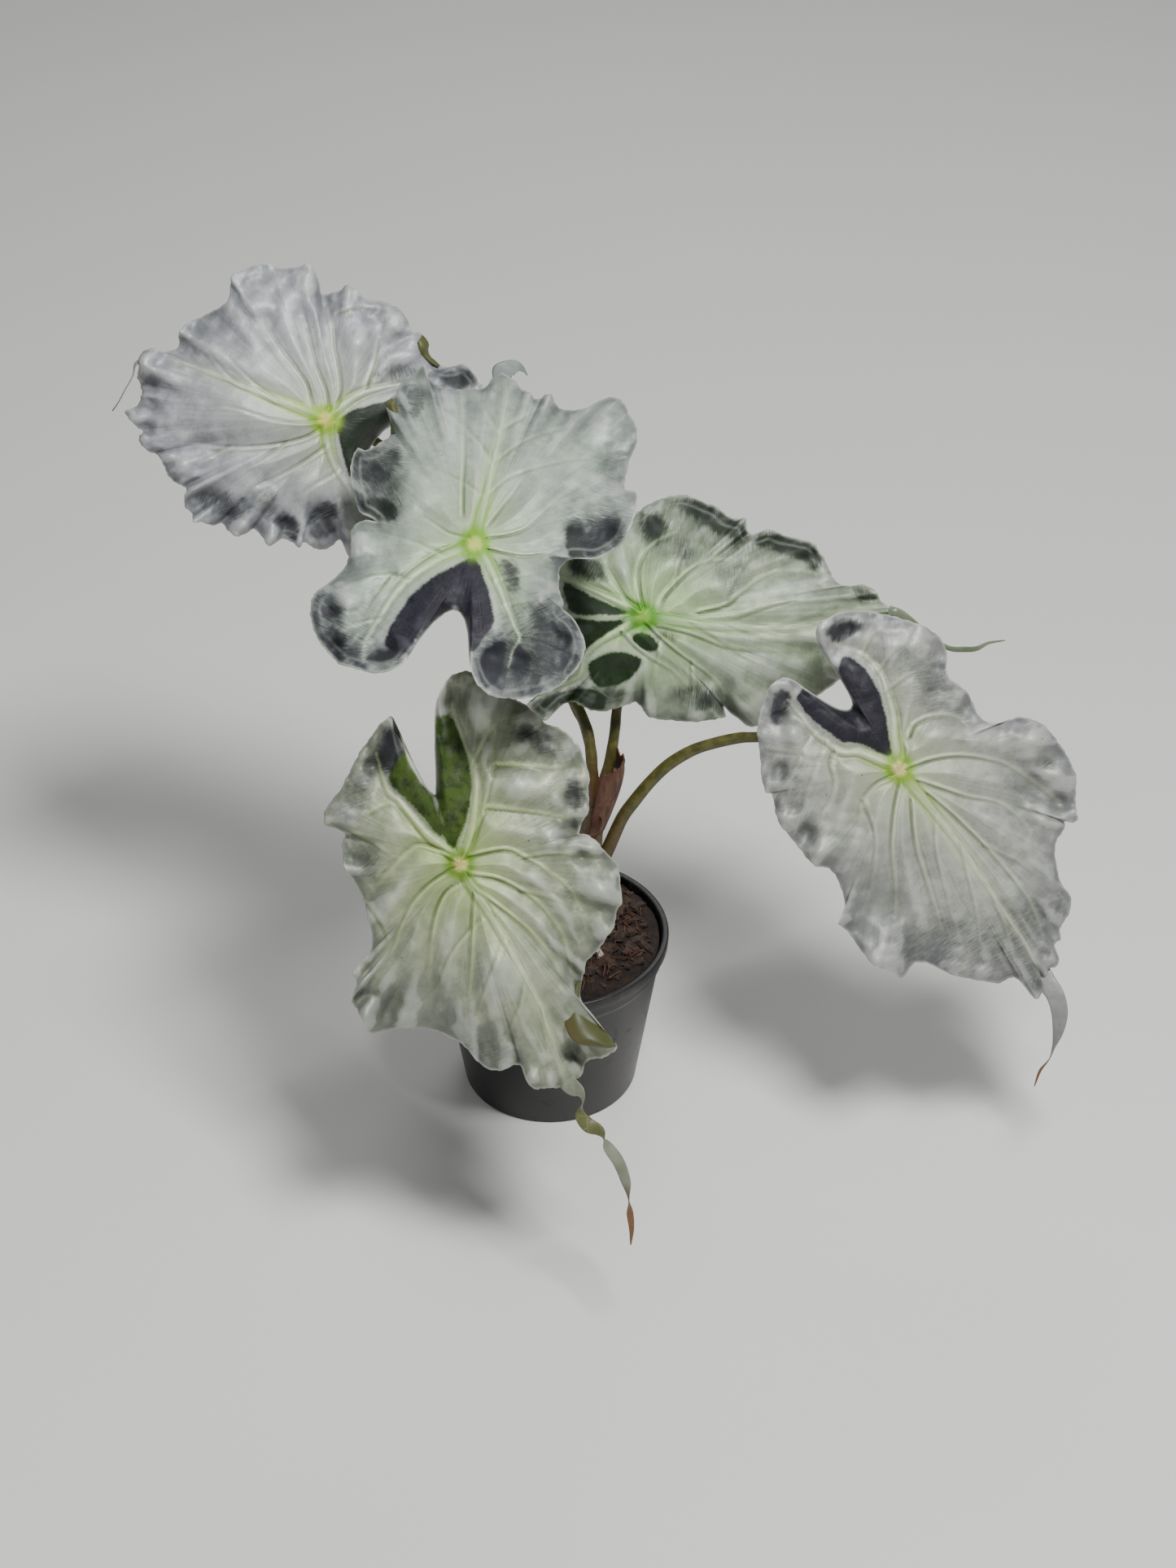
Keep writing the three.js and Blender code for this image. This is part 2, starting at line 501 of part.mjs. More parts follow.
function makeSheath() {
  const steps = 10;
  const shell = [];
  for (const { at, half } of SHEATH) {
    const ring = [];
    for (const side of [SHEATH_THICKNESS, 0]) {
      for (let k = 0; k <= steps; k += 1) {
        const share = side > 0 ? k / steps : 1 - k / steps;
        const turn = THREE.MathUtils.lerp(SHEATH_TURN[0], SHEATH_TURN[1], share);
        const a = half[0] + FIT + 0.1 + side;
        const b = half[1] + FIT + 0.1 + side;
        ring.push(new THREE.Vector3(at[0] + a * Math.cos(turn), at[1] + b * Math.sin(turn), at[2]));
      }
    }
    shell.push(ring);
  }
  return loftByStrips(shell);
}

// A closed body through open-sided rings whose outer and inner halves run opposite ways
function loftByStrips(rings) {
  const sides = rings[0].length;
  const half = sides / 2;
  const points = rings.flat();
  const triangles = [];
  for (let i = 0; i + 1 < rings.length; i += 1) {
    for (let k = 0; k < sides; k += 1) {
      const next = (k + 1) % sides;
      const here = i * sides;
      triangles.push([here + k, here + next, here + sides + k]);
      triangles.push([here + next, here + sides + next, here + sides + k]);
    }
  }
  const last = (rings.length - 1) * sides;
  for (let k = 0; k + 1 < half; k += 1) {
    const inner = sides - 1 - k;
    triangles.push([k, inner, k + 1], [k + 1, inner, inner - 1]);
    triangles.push([last + k, last + k + 1, last + inner], [last + k + 1, last + inner - 1, last + inner]);
  }
  return bodyFrom(points, triangles);
}

function makeStalk({ path, radii }, grow) {
  const curve = new THREE.CatmullRomCurve3(path.map(([across, down, depth]) => seen([across, down], depth)));
  const frames = curve.computeFrenetFrames(STALK_STEPS, false);
  const rings = curve.getSpacedPoints(STALK_STEPS).map((centre, i) => {
    const radius = THREE.MathUtils.lerp(radii[0], radii[1], i / STALK_STEPS) + grow;
    const overrun = (i === STALK_STEPS ? grow : 0) - (i === 0 ? grow : 0);
    centre.addScaledVector(frames.tangents[i], overrun);
    const a = frames.normals[i].clone().multiplyScalar(radius);
    const b = frames.binormals[i].clone().multiplyScalar(radius);
    return ringAt(centre, a, b, STALK_SIDES);
  });
  return loft(rings);
}

// Leaf blades

function distanceToVeins(veins, [across, down]) {
  let least = Infinity;
  for (const vein of veins) {
    for (let k = 0; k + 1 < vein.length; k += 1) {
      const [ax, ay] = vein[k];
      const [bx, by] = vein[k + 1];
      const along = ((across - ax) * (bx - ax) + (down - ay) * (by - ay)) / ((bx - ax) ** 2 + (by - ay) ** 2);
      const share = THREE.MathUtils.clamp(along, 0, 1);
      least = Math.min(least, Math.hypot(across - ax - share * (bx - ax), down - ay - share * (by - ay)));
    }
  }
  return least * DRAWING_MM;
}

// How far a margin knot stands out beyond the mean of its neighbours, in millimetres
function bulgeOf({ hub, margin }, knot) {
  const reach = ([across, down]) => Math.hypot(across - hub[0], down - hub[1]);
  let sum = 0;
  for (let k = -RUFFLE_SPAN; k <= RUFFLE_SPAN; k += 1) {
    sum += reach(margin[(knot + k + margin.length) % margin.length]);
  }
  return (reach(margin[knot]) - sum / (2 * RUFFLE_SPAN + 1)) * DRAWING_MM;
}

function rippleOf({ ripples }, knot) {
  let lift = 0;
  for (const [first, last, waves, height] of ripples) {
    const share = (knot - first) / (last - first);
    if (share > 0 && share < 1) {
      lift += height * Math.sin(2 * Math.PI * waves * share) * Math.sqrt(Math.sin(Math.PI * share));
    }
  }
  return lift;
}

// Depth of the blade's upper face: a bent sheet, raised between its veins, ruffled at its margin
function depthAt(leaf, place, share, knot) {
  const x = (place[0] - leaf.hub[0]) * DRAWING_MM;
  const y = (leaf.hub[1] - place[1]) * DRAWING_MM;
  const tilt = leaf.slope[0] * x + leaf.slope[1] * y;
  const sheet = leaf.depth + tilt - leaf.bend[0] * x * x - leaf.bend[1] * y * y;
  const away = distanceToVeins(leaf.veins, place) / PANEL_WIDTH;
  const panel = PANEL_RISE * (1 - Math.exp(-away * away));
  const ruffle = RUFFLE_GAIN * bulgeOf(leaf, knot) + rippleOf(leaf, knot);
  return sheet + panel + ruffle * share ** RUFFLE_ONSET;
}

function thicknessAt(share) {
  return BLADE_THICKNESS + (BOSS_THICKNESS - BLADE_THICKNESS) * Math.max(0, 1 - share / BOSS_REACH);
}

// Triangles between an inner ring of columns and an outer ring that has all of them and more
function bandTriangles(inner, outer, count) {
  const triangles = [];
  for (let i = 0; i < inner.columns.length; i += 1) {
    const from = inner.columns[i];
    const to = i + 1 < inner.columns.length ? inner.columns[i + 1] : count;
    const outside = outer.columns.filter((c) => c >= from && c <= to);
    if (to === count) {
      outside.push(count);
    }
    const nextInner = (i + 1) % inner.columns.length;
    const at = (column) => outer.start + outer.columns.indexOf(column % count);
    const middle = Math.floor((outside.length - 1) / 2);
    for (let k = 0; k + 1 < outside.length; k += 1) {
      const centre = inner.start + (k < middle ? i : nextInner);
      triangles.push([centre, at(outside[k + 1]), at(outside[k])]);
    }
    triangles.push([inner.start + i, inner.start + nextInner, at(outside[middle])]);
  }
  return triangles;
}

function makeBladeSheet(leaf) {
  const count = leaf.margin.length;
  const tops = [];
  const bottoms = [];
  const addPoint = (place, share, knot) => {
    const depth = depthAt(leaf, place, share, knot);
    tops.push(seen(place, depth));
    bottoms.push(seen(place, depth - thicknessAt(share)));
  };
  addPoint(leaf.hub, 0, 0);
  const rings = [];
  for (const [share, step] of RINGS) {
    const columns = [...Array(count).keys()].filter((k) => k % step === 0);
    rings.push({ start: tops.length, columns });
    for (const knot of columns) {
      const [across, down] = leaf.margin[knot];
      const place = [
        leaf.hub[0] + share * (across - leaf.hub[0]), leaf.hub[1] + share * (down - leaf.hub[1]),
      ];
      addPoint(place, share, knot);
    }
  }
  const face = [];
  const first = rings[0];
  first.columns.forEach((_, k) => {
    face.push([0, first.start + ((k + 1) % first.columns.length), first.start + k]);
  });
  for (let i = 0; i + 1 < rings.length; i += 1) {
    face.push(...bandTriangles(rings[i], rings[i + 1], count));
  }
  const below = tops.length;
  const triangles = [...face, ...face.map(([p, q, r]) => [below + p, below + r, below + q])];
  const rim = rings[rings.length - 1].start;
  for (let k = 0; k < count; k += 1) {
    const here = rim + k;
    const next = rim + ((k + 1) % count);
    triangles.push([here, next, below + here], [next, below + next, below + here]);
  }
  return bodyFrom([...tops, ...bottoms], triangles);
}

// The long drip tip: a thin strip that hangs and turns about its own length
function makeDrip(leaf) {
  const { path, widths, twist } = leaf.drip;
  const tipDepth = depthAt(leaf, leaf.margin[0], 1, 0) - BLADE_THICKNESS / 2;
  const centres = path.map(([across, down, lift]) => seen([across, down], tipDepth + lift));
  const rings = centres.map((centre, i) => {
    const before = centres[Math.max(0, i - 1)];
    const after = centres[Math.min(centres.length - 1, i + 1)];
    const along = after.clone().sub(before).normalize();
    const across = along.clone().cross(TOWARDS).normalize().applyAxisAngle(along, twist[i]);
    const flat = along.clone().cross(across);
    return ringAt(centre, across.multiplyScalar(widths[i] / 2), flat.multiplyScalar(0.45), 6);
  });
  return loft(rings);
}

// A piece of margin folded back over the blade towards the eye: fold holds knots of the margin
function makeFlap(leaf) {
  const { fold, free, lift } = leaf.flap;
  const first = leaf.margin.findIndex(([across, down]) => across === fold[0][0] && down === fold[0][1]);
  const rings = fold.map((place, k) => {
    const depth = depthAt(leaf, place, 1, first + k) - BLADE_THICKNESS / 2;
    const hinge = seen(place, depth);
    const edge = seen(free[k], depth + lift);
    const across = edge.clone().sub(hinge).multiplyScalar(0.5);
    const centre = hinge.clone().add(edge).multiplyScalar(0.5);
    return ringAt(centre, across, TOWARDS.clone().multiplyScalar(-0.7), 8);
  });
  return loft(rings);
}

function makeBlade(leaf, stalk) {
  let blade = makeBladeSheet(leaf).add(makeDrip(leaf));
  if (leaf.flap) {
    blade = blade.add(makeFlap(leaf));
  }
  return blade.subtract(makeStalk(stalk, FIT));
}

// Assembly

const plant = new THREE.Group();
plant.name = "potted_venom_alocasia";
plant.add(meshOf("pot", makePot(), COLOURS.pot, 0.55));
plant.add(meshOf("substrate", makeSubstrate(), COLOURS.soil, 0.95));

let crown = makeCrown(0);
let sheath = makeSheath();
for (const stalk of Object.values(STALKS)) {
  const room = makeStalk(stalk, FIT);
  crown = crown.subtract(room);
  sheath = sheath.subtract(room);
}
plant.add(meshOf("crown", crown, COLOURS.crown, 0.7));
plant.add(meshOf("sheath", sheath, COLOURS.sheath, 0.75));

for (const [letter, leaf] of Object.entries(LEAVES)) {
  const stalk = STALKS[letter];
  plant.add(meshOf(`petiole_${letter}`, makeStalk(stalk, 0), COLOURS.stalk, 0.5));
  plant.add(meshOf(`blade_${letter}`, makeBlade(leaf, stalk), COLOURS.blade, 0.5));
}

export default plant;
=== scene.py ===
"""The look of a potted venom alocasia: five silver, lobed and ruffled leaves on olive stalks,
a short crown with a papery sheath, and a black nursery pot full of coir and bark.
Lengths in the tables are millimetres; everything built from them is in metres."""

from functools import partial

import bpy
import numpy as np
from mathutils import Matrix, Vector


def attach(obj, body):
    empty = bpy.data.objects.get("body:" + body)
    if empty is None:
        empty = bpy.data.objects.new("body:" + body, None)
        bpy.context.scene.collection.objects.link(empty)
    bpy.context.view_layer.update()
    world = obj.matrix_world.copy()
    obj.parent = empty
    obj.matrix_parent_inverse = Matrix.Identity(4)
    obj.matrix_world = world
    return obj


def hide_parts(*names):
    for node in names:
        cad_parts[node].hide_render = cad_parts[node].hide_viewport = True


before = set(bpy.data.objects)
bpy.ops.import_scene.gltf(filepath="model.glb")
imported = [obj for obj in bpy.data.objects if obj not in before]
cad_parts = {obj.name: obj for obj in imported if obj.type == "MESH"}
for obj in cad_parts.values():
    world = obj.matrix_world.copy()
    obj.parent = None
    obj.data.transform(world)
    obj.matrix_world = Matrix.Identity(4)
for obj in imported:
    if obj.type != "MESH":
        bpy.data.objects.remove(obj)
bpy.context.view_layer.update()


# Camera and drawing plane
# The camera stands EYE_DISTANCE from AIM and looks 36 degrees down. Leaves are drawn as it sees
# them: a drawn point is (across, down) in the photograph's pixels, with a depth in millimetres
# from AIM towards the camera.

MM = 0.001
EYE_DISTANCE = 1500
DRAWING_FOCUS = 3676
DRAWING_MIDDLE = (722.5, 963.5)
DRAWING_HEIGHT = 1927
DRAWING_MM = EYE_DISTANCE / DRAWING_FOCUS
SENSOR = 36
CLIP_START = 0.05
CLIP_END = 20
AIM = np.array((19.4, 43.0, 149.2))
RIGHT = np.array((1.0, 0.0, 0.0))
UP = np.array((0.0, 0.588, 0.809))
TOWARDS = np.array((0.0, -0.809, 0.588))


def seen(places, depths):
    """World points in metres of drawn places (n, 2) at depths (n): AIM + s·dx·RIGHT + s·dy·UP +
    depth·TOWARDS, with s = (EYE_DISTANCE - depth) / DRAWING_FOCUS."""
    places = np.asarray(places, float).reshape(-1, 2)
    depths = np.broadcast_to(np.asarray(depths, float), (len(places),))
    scale = (EYE_DISTANCE - depths) / DRAWING_FOCUS
    across = (places[:, 0] - DRAWING_MIDDLE[0]) * scale
    up = (DRAWING_MIDDLE[1] - places[:, 1]) * scale
    return (AIM + across[:, None] * RIGHT + up[:, None] * UP + depths[:, None] * TOWARDS) * MM


camera_data = bpy.data.cameras.new("camera")
camera_data.lens = DRAWING_FOCUS * SENSOR / DRAWING_HEIGHT
camera_data.sensor_width = SENSOR
camera_data.clip_start = CLIP_START
camera_data.clip_end = CLIP_END
camera = bpy.data.objects.new("camera", camera_data)
camera.location = (AIM + EYE_DISTANCE * TOWARDS) * MM
camera.rotation_euler = Vector(-TOWARDS).to_track_quat("-Z", "Y").to_euler()
bpy.context.scene.collection.objects.link(camera)
bpy.context.scene.camera = camera


# Nursery pot
# One moulding of black polypropylene: a tapered wall, a step below the rolled rim, and a floor
# with drainage holes. The wall is turned from one profile, and the floor's grid is cut out at the
# holes.

POT_HEIGHT = 90
POT_RIM_RADIUS = 60
POT_BASE_RADIUS = 44
POT_WALL = 1.2
POT_LIP = 2.2
POT_LIP_HEIGHT = 6
POT_LIP_DRAFT = 0.4
POT_SHOULDER = 15
POT_SHOULDER_RADIUS = 55.5
POT_SHOULDER_WALL = 1.6
POT_STEP = 2.5
POT_NECK_DRAFT = 0.6
POT_FLOOR = 2.0
POT_ROUNDING = 0.8
POT_SIDES = 144
NECK_RADIUS = POT_RIM_RADIUS - POT_LIP
SHOULDER_HEIGHT = POT_HEIGHT - POT_SHOULDER
HOLES = 6
HOLE_RADIUS = 4.5
HOLE_RING = 31
FLOOR_RADIUS = HOLE_RING + HOLE_RADIUS + 3
FLOOR_RINGS = 39


def colour(code):
    """Linear RGBA of an sRGB hex code: c/12.92 below 0.04045, ((c + 0.055) / 1.055)^2.4 above."""
    parts = [int(code[k : k + 2], 16) / 255 for k in (1, 3, 5)]
    return tuple(c / 12.92 if c <= 0.04045 else ((c + 0.055) / 1.055) ** 2.4 for c in parts) + (1.0,)


def fill(tree, node, inputs):
    """Fills a node's sockets: an output is linked, a hex code becomes a colour, a number is set."""
    for key, value in inputs.items():
        if isinstance(value, bpy.types.NodeSocket):
            tree.links.new(value, node.inputs[key])
        else:
            node.inputs[key].default_value = colour(value) if isinstance(value, str) else value


# The nodes in use, by short name: type, settings, sockets in the order of the inputs, and output.
# Noise and cells are patterns of 1 / scale metres.

NODES = {
    "attribute": ("Attribute", {}, (), "Fac"),
    "noise": ("TexNoise", {}, ("Vector", "Scale", "Detail", "Roughness", "Distortion"), "Fac"),
    "cells": ("TexVoronoi", {}, ("Vector", "Scale"), "Distance"),
    "net": ("TexVoronoi", {"feature": "DISTANCE_TO_EDGE"}, ("Vector", "Scale"), "Distance"),
    "ramp": ("MapRange", {"interpolation_type": "SMOOTHSTEP"}, (0, 1, 2, 3, 4), 0),
    "mix": ("Mix", {"data_type": "RGBA"}, (0, 6, 7), 2),
    "multiply": ("Math", {"operation": "MULTIPLY"}, (0, 1), 0),
    "add": ("Math", {"operation": "ADD"}, (0, 1), 0),
    "subtract": ("Math", {"operation": "SUBTRACT"}, (0, 1), 0),
    "stretch": ("Mapping", {}, ("Vector", "Scale"), 0),
    "combine": ("CombineXYZ", {}, (0, 1, 2), 0),
    "height": ("SeparateXYZ", {}, (0,), "Z"),
    "bump": ("Bump", {}, ("Height", "Strength", "Distance", "Normal"), "Normal"),
}


def add_node(tree, name, *inputs, **settings):
    """Adds the node of a short name: inputs fill its sockets, settings are more of its properties.
    It gives the node's output."""
    kind, own, sockets, output = NODES[name]
    node = tree.nodes.new("ShaderNode" + kind)
    for key, value in {**own, **settings}.items():
        setattr(node, key, value)
    fill(tree, node, dict(zip(sockets, inputs)))
    return node.outputs[output]


def new_material(name):
    """An empty material: itself, what fills its shader, its Object coordinates, what adds nodes."""
    material = bpy.data.materials.new(name)
    material.use_nodes = True
    tree = material.node_tree
    place = tree.nodes.new("ShaderNodeTexCoord").outputs["Object"]
    return material, partial(fill, tree, tree.nodes["Principled BSDF"]), place, partial(add_node, tree)


def pot_material():
    """Moulded black polypropylene: a grain of 0.7 mm that spreads the highlights, faint scuffs of
    14 mm, and a little dried soil below the rim in flecks of 5 mm."""
    material, shade, place, add = new_material("black_pot_plastic")
    scuffs = add("ramp", add("noise", place, 70, 6, 0.7, 1.2), 0.56, 0.74)
    base = add("mix", scuffs, "#0c0c0e", "#18181b")
    grime = add("ramp", add("noise", place, 190, 5, 0.55), 0.5, 0.72)
    dust = add("multiply", add("ramp", add("height", place), 0.06, 0.092), grime)
    base = add("mix", add("multiply", dust, 0.5), base, "#4a3a2c")
    rough = add("add", add("multiply", scuffs, 0.18), 0.42)
    shade({
        "Base Color": base,
        "Roughness": rough,
        "Normal": add("bump", add("noise", place, 1400, 2, 0.55), 0.25, 0.00015),
    })
    return material


def part_of(points, faces, index=0, **values):
    """One part of a piece: its points, its faces, a material index per face, and attributes, each
    one number or one number per point."""
    points = np.asarray(points, float).reshape(-1, 3)
    marks = {key: np.broadcast_to(np.asarray(v, float), (len(points),)) for key, v in values.items()}
    kinds = np.broadcast_to(np.asarray(index, int), (len(faces),))
    return points, [tuple(int(k) for k in face) for face in faces], kinds, marks


def finish_piece(name, parts, materials, nodes, flat=()):
    """Makes the object of the parts, riding on the root body and standing for the CAD nodes. Faces
    are smooth, except those with a material index in flat."""
    start, points, faces, kinds = 0, [], [], []
    names = sorted({key for part in parts for key in part[3]})
    marks = {key: [] for key in names}
    for part_points, part_faces, part_kinds, part_marks in parts:
        points.append(part_points)
        faces.extend(tuple(start + k for k in face) for face in part_faces)
        kinds.append(part_kinds)
        for key in names:
            marks[key].append(part_marks.get(key, np.zeros(len(part_points))))
        start += len(part_points)
    mesh = bpy.data.meshes.new(name)
    mesh.from_pydata(np.concatenate(points).tolist(), [], faces)
    mesh.polygons.foreach_set("material_index", np.concatenate(kinds).astype(np.int32))
    mesh.polygons.foreach_set("use_smooth", ~np.isin(np.concatenate(kinds), flat))
    for key in names:
        layer = mesh.attributes.new(key, "FLOAT", "POINT")
        layer.data.foreach_set("value", np.concatenate(marks[key]).astype(np.float32))
    for material in materials:
        mesh.materials.append(material)
    mesh.update()
    piece = bpy.data.objects.new(name, mesh)
    bpy.context.scene.collection.objects.link(piece)
    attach(piece, "root")
    if nodes:
        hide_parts(*nodes)
    return piece


def tube_faces(rows, sides, closed_ends=True):
    """Quads of a tube of rows rings, with a fan on each end round two more points."""
    k = np.arange(sides)
    following = (k + 1) % sides
    faces = []
    for row in range(rows - 1):
        here = row * sides
        above = here + sides
        faces += np.stack((here + k, here + following, above + following, above + k), 1).tolist()
    if closed_ends:
        last = (rows - 1) * sides
        faces += [(rows * sides, following[i], k[i]) for i in range(sides)]
        faces += [(rows * sides + 1, last + k[i], last + following[i]) for i in range(sides)]
    return faces


def grid_faces(rings, columns, first, flip=False):
    """Quads between rings of columns, with a fan round the point first at the hub."""
    k = np.arange(columns)
    following = (k + 1) % columns
    faces = np.stack((np.full(columns, first), first + 1 + following, first + 1 + k), 1).tolist()
    for ring in range(rings - 1):
        inner = first + 1 + ring * columns
        outer = inner + columns
        faces += np.stack((inner + k, inner + following, outer + following, outer + k), 1).tolist()
    return [face[::-1] for face in faces] if flip else faces


def rounded(profile, radius):
    """The profile with each inner corner replaced by an arc of three points about radius long."""
    points = [np.asarray(profile[0], float)]
    for before, corner, after in zip(profile, profile[1:], profile[2:]):
        before, corner, after = (np.asarray(p, float) for p in (before, corner, after))
        one, two = before - corner, after - corner
        cut = min(radius, 0.4 * np.linalg.norm(one), 0.4 * np.linalg.norm(two))
        start = corner + one / np.linalg.norm(one) * cut
        end = corner + two / np.linalg.norm(two) * cut
        points += [start, 0.25 * start + 0.5 * corner + 0.25 * end, end]
    return np.array(points + [np.asarray(profile[-1], float)])


def cut_floor(places, height):
    """Points of the pot's floor at a height, pushed out of the holes' circles onto their edges, and
    which of them lay inside."""
    angle = 2 * np.pi * (np.arange(HOLES) + 0.5) / HOLES
    centres = HOLE_RING * np.stack((np.cos(angle), np.sin(angle)), 1)
    gaps = places[:, None] - centres
    away = np.linalg.norm(gaps, axis=2)
    k = away.argmin(1)
    rows = np.arange(len(places))
    near, gap = away[rows, k], gaps[rows, k]
    push = np.where(near < HOLE_RADIUS, HOLE_RADIUS, near)
    flat = centres[k] + gap / np.maximum(near, 1e-6)[:, None] * push[:, None]
    return np.column_stack((flat, np.full(len(flat), height))), near < HOLE_RADIUS * 0.999


def make_pot(material):
    """The pot's wall and floor, turned from one profile, with the drainage holes cut out."""
    lip = POT_HEIGHT - POT_LIP_HEIGHT
    inside = NECK_RADIUS - POT_WALL
    outline = [
        (FLOOR_RADIUS, 0), (POT_BASE_RADIUS, 0), (POT_SHOULDER_RADIUS, SHOULDER_HEIGHT),
        (NECK_RADIUS - POT_NECK_DRAFT, SHOULDER_HEIGHT + POT_STEP), (NECK_RADIUS, lip),
        (POT_RIM_RADIUS - POT_LIP_DRAFT, lip), (POT_RIM_RADIUS, POT_HEIGHT), (inside, POT_HEIGHT),
        (inside - POT_NECK_DRAFT, SHOULDER_HEIGHT + POT_STEP),
        (POT_SHOULDER_RADIUS - POT_SHOULDER_WALL, SHOULDER_HEIGHT),
        (POT_BASE_RADIUS - POT_WALL, POT_FLOOR), (FLOOR_RADIUS, POT_FLOOR),
    ]
    profile = rounded(outline, POT_ROUNDING)
    turn = 2 * np.pi * np.arange(POT_SIDES) / POT_SIDES
    across, height = profile[:, :1], profile[:, 1:]
    ring = np.stack((across * np.cos(turn), across * np.sin(turn), height + 0 * turn), -1).reshape(-1, 3)
    wall = part_of(ring * MM, tube_faces(len(profile), POT_SIDES, closed_ends=False))

    radii = np.linspace(0, FLOOR_RADIUS, FLOOR_RINGS + 1)[1:, None]
    disc = np.stack((radii * np.cos(turn), radii * np.sin(turn)), -1).reshape(-1, 2)
    disc = np.vstack(([[0.0, 0.0]], disc))
    below, in_hole = cut_floor(disc, 0.0)
    above, _ = cut_floor(disc, POT_FLOOR)
    quads = [f for f in grid_faces(FLOOR_RINGS, POT_SIDES, 0) if not all(in_hole[k] for k in f)]
    size = len(disc)
    edges = dict.fromkeys((a, b) for face in quads for a, b in zip(face, face[1:] + face[:1]))
    sides = [(b, a, size + a, size + b) for a, b in edges if (b, a) not in edges]
    outer_start = size - POT_SIDES
    sides = [f for f in sides if not (f[0] >= outer_start and f[1] >= outer_start)]
    faces = [f[::-1] for f in quads] + [tuple(size + k for k in f) for f in quads] + sides
    floor = part_of(np.vstack((below, above)) * MM, faces)
    return finish_piece("nursery_pot", [wall, floor], (material,), ("pot",))


make_pot(pot_material())


# Coir and bark
# The substrate is damp coir with bark chips, loose fibres and a few pale bits, heaped a little
# towards the crown. Its bed is one rough plug down the pot, and the rest lies on it by seeded draws.

SOIL_GAP = 0.4
SOIL_HEAP = 5
SOIL_ROUGHNESS = 1.6
SOIL_EDGE_DROP = 3
SOIL_SEED = 17
BED_SIDES = 200
BED_RINGS = 70
BED_INSET = 1.6
BED_SHOULDER_RADIUS = 53.5
BED_FOOT_RADIUS = 42.4
BED_FOOT = 2.8
CHIP_COUNT = 520
CHIP_REACH = 51
PALE_SHARE = 0.035
FIBRE_COUNT = 420
FIBRE_REACH = 49
FIBRE_LIMIT = 52
FIBRE_STEPS = 7
CROWN_FOOT = (13, 12)
CROWN_CLEAR = 11.5


def soil_material(name, dark, light, scale):
    """Damp, matt coir, bark or fibre: two browns in patches of 1 / scale metres, 3 to 5 mm, with a
    crumb a third of that size."""
    material, shade, place, add = new_material(name)
    patches = add("noise", place, scale, 6, 0.7)
    base = add("mix", add("ramp", patches, 0.35, 0.68), dark, light)
    shade({
        "Base Color": base,
        "Roughness": 0.9,
        "Normal": add("bump", add("noise", place, scale * 3, 5, 0.7), 0.9, 0.0012),
    })
    return material


def unit(vectors):
    """Vectors of length 1."""
    return vectors / np.maximum(np.linalg.norm(vectors, axis=-1, keepdims=True), 1e-12)


def frames_along(points):
    """Tangents and two crosswise axes along a path, carried along without twist."""
    tangents = unit(np.gradient(points, axis=0))
    first = unit(np.cross(tangents[0], TOWARDS))
    sides = [first]
    for tangent in tangents[1:]:
        side = sides[-1] - tangent * np.dot(sides[-1], tangent)
        sides.append(side / np.linalg.norm(side))
    sides = np.array(sides)
    return tangents, sides, np.cross(tangents, sides)


def tube(points, radii, sides, flat=None, turn=None, index=0, **values):
    """A closed tube: radii across, flat the other way (or the same), turned by turn about its path."""
    points = np.asarray(points, float)
    rows = len(points)
    _, side, up = frames_along(points)
    angle = np.zeros(rows) if turn is None else np.asarray(turn, float)
    a = side * np.cos(angle)[:, None] + up * np.sin(angle)[:, None]
    b = up * np.cos(angle)[:, None] - side * np.sin(angle)[:, None]
    wide = np.broadcast_to(radii, (rows,))
    thin = wide if flat is None else np.broadcast_to(flat, (rows,))
    around = 2 * np.pi * np.arange(sides) / sides
    ring = (
        points[:, None]
        + a[:, None] * (wide[:, None] * np.cos(around))[..., None]
        + b[:, None] * (thin[:, None] * np.sin(around))[..., None]
    )
    cloud = np.vstack((ring.reshape(-1, 3), points[:1], points[-1:]))
    spread = {}
    for key, value in values.items():
        value = np.broadcast_to(value, (rows,))
        spread[key] = np.concatenate((np.repeat(value, sides), value[:1], value[-1:]))
    return part_of(cloud, tube_faces(rows, sides), index, **spread)


def wander(x, y, wavelength, seed, waves=9):
    """Smooth random field of about -1 to 1: the mean of sines in seeded directions, times 1.6."""
    random = np.random.default_rng(seed)
    total = np.zeros(np.shape(x))
    for _ in range(waves):
        turn, phase = random.uniform(0, 2 * np.pi, 2)
        pitch = 2 * np.pi / (wavelength * random.uniform(0.7, 1.5))
        total += np.sin(pitch * (np.asarray(x) * np.cos(turn) + np.asarray(y) * np.sin(turn)) + phase)
    return 1.6 * total / waves


def soil_height(x, y):
    """The heap's height: edge + SOIL_HEAP·(1 - r³) + lumps·(1 - r⁶), r as a share of the rim."""
    out = np.minimum(1, np.hypot(x, y) / POT_RIM_RADIUS)
    lumps = np.sin(x * 0.31 + 1.2) * np.cos(y * 0.27 - 0.6) + 0.6 * np.sin(x * 0.11 - y * 0.53)
    heap = SOIL_HEAP * (1 - out**3) + SOIL_ROUGHNESS * lumps * (1 - out**6)
    return POT_HEIGHT - SOIL_EDGE_DROP + heap


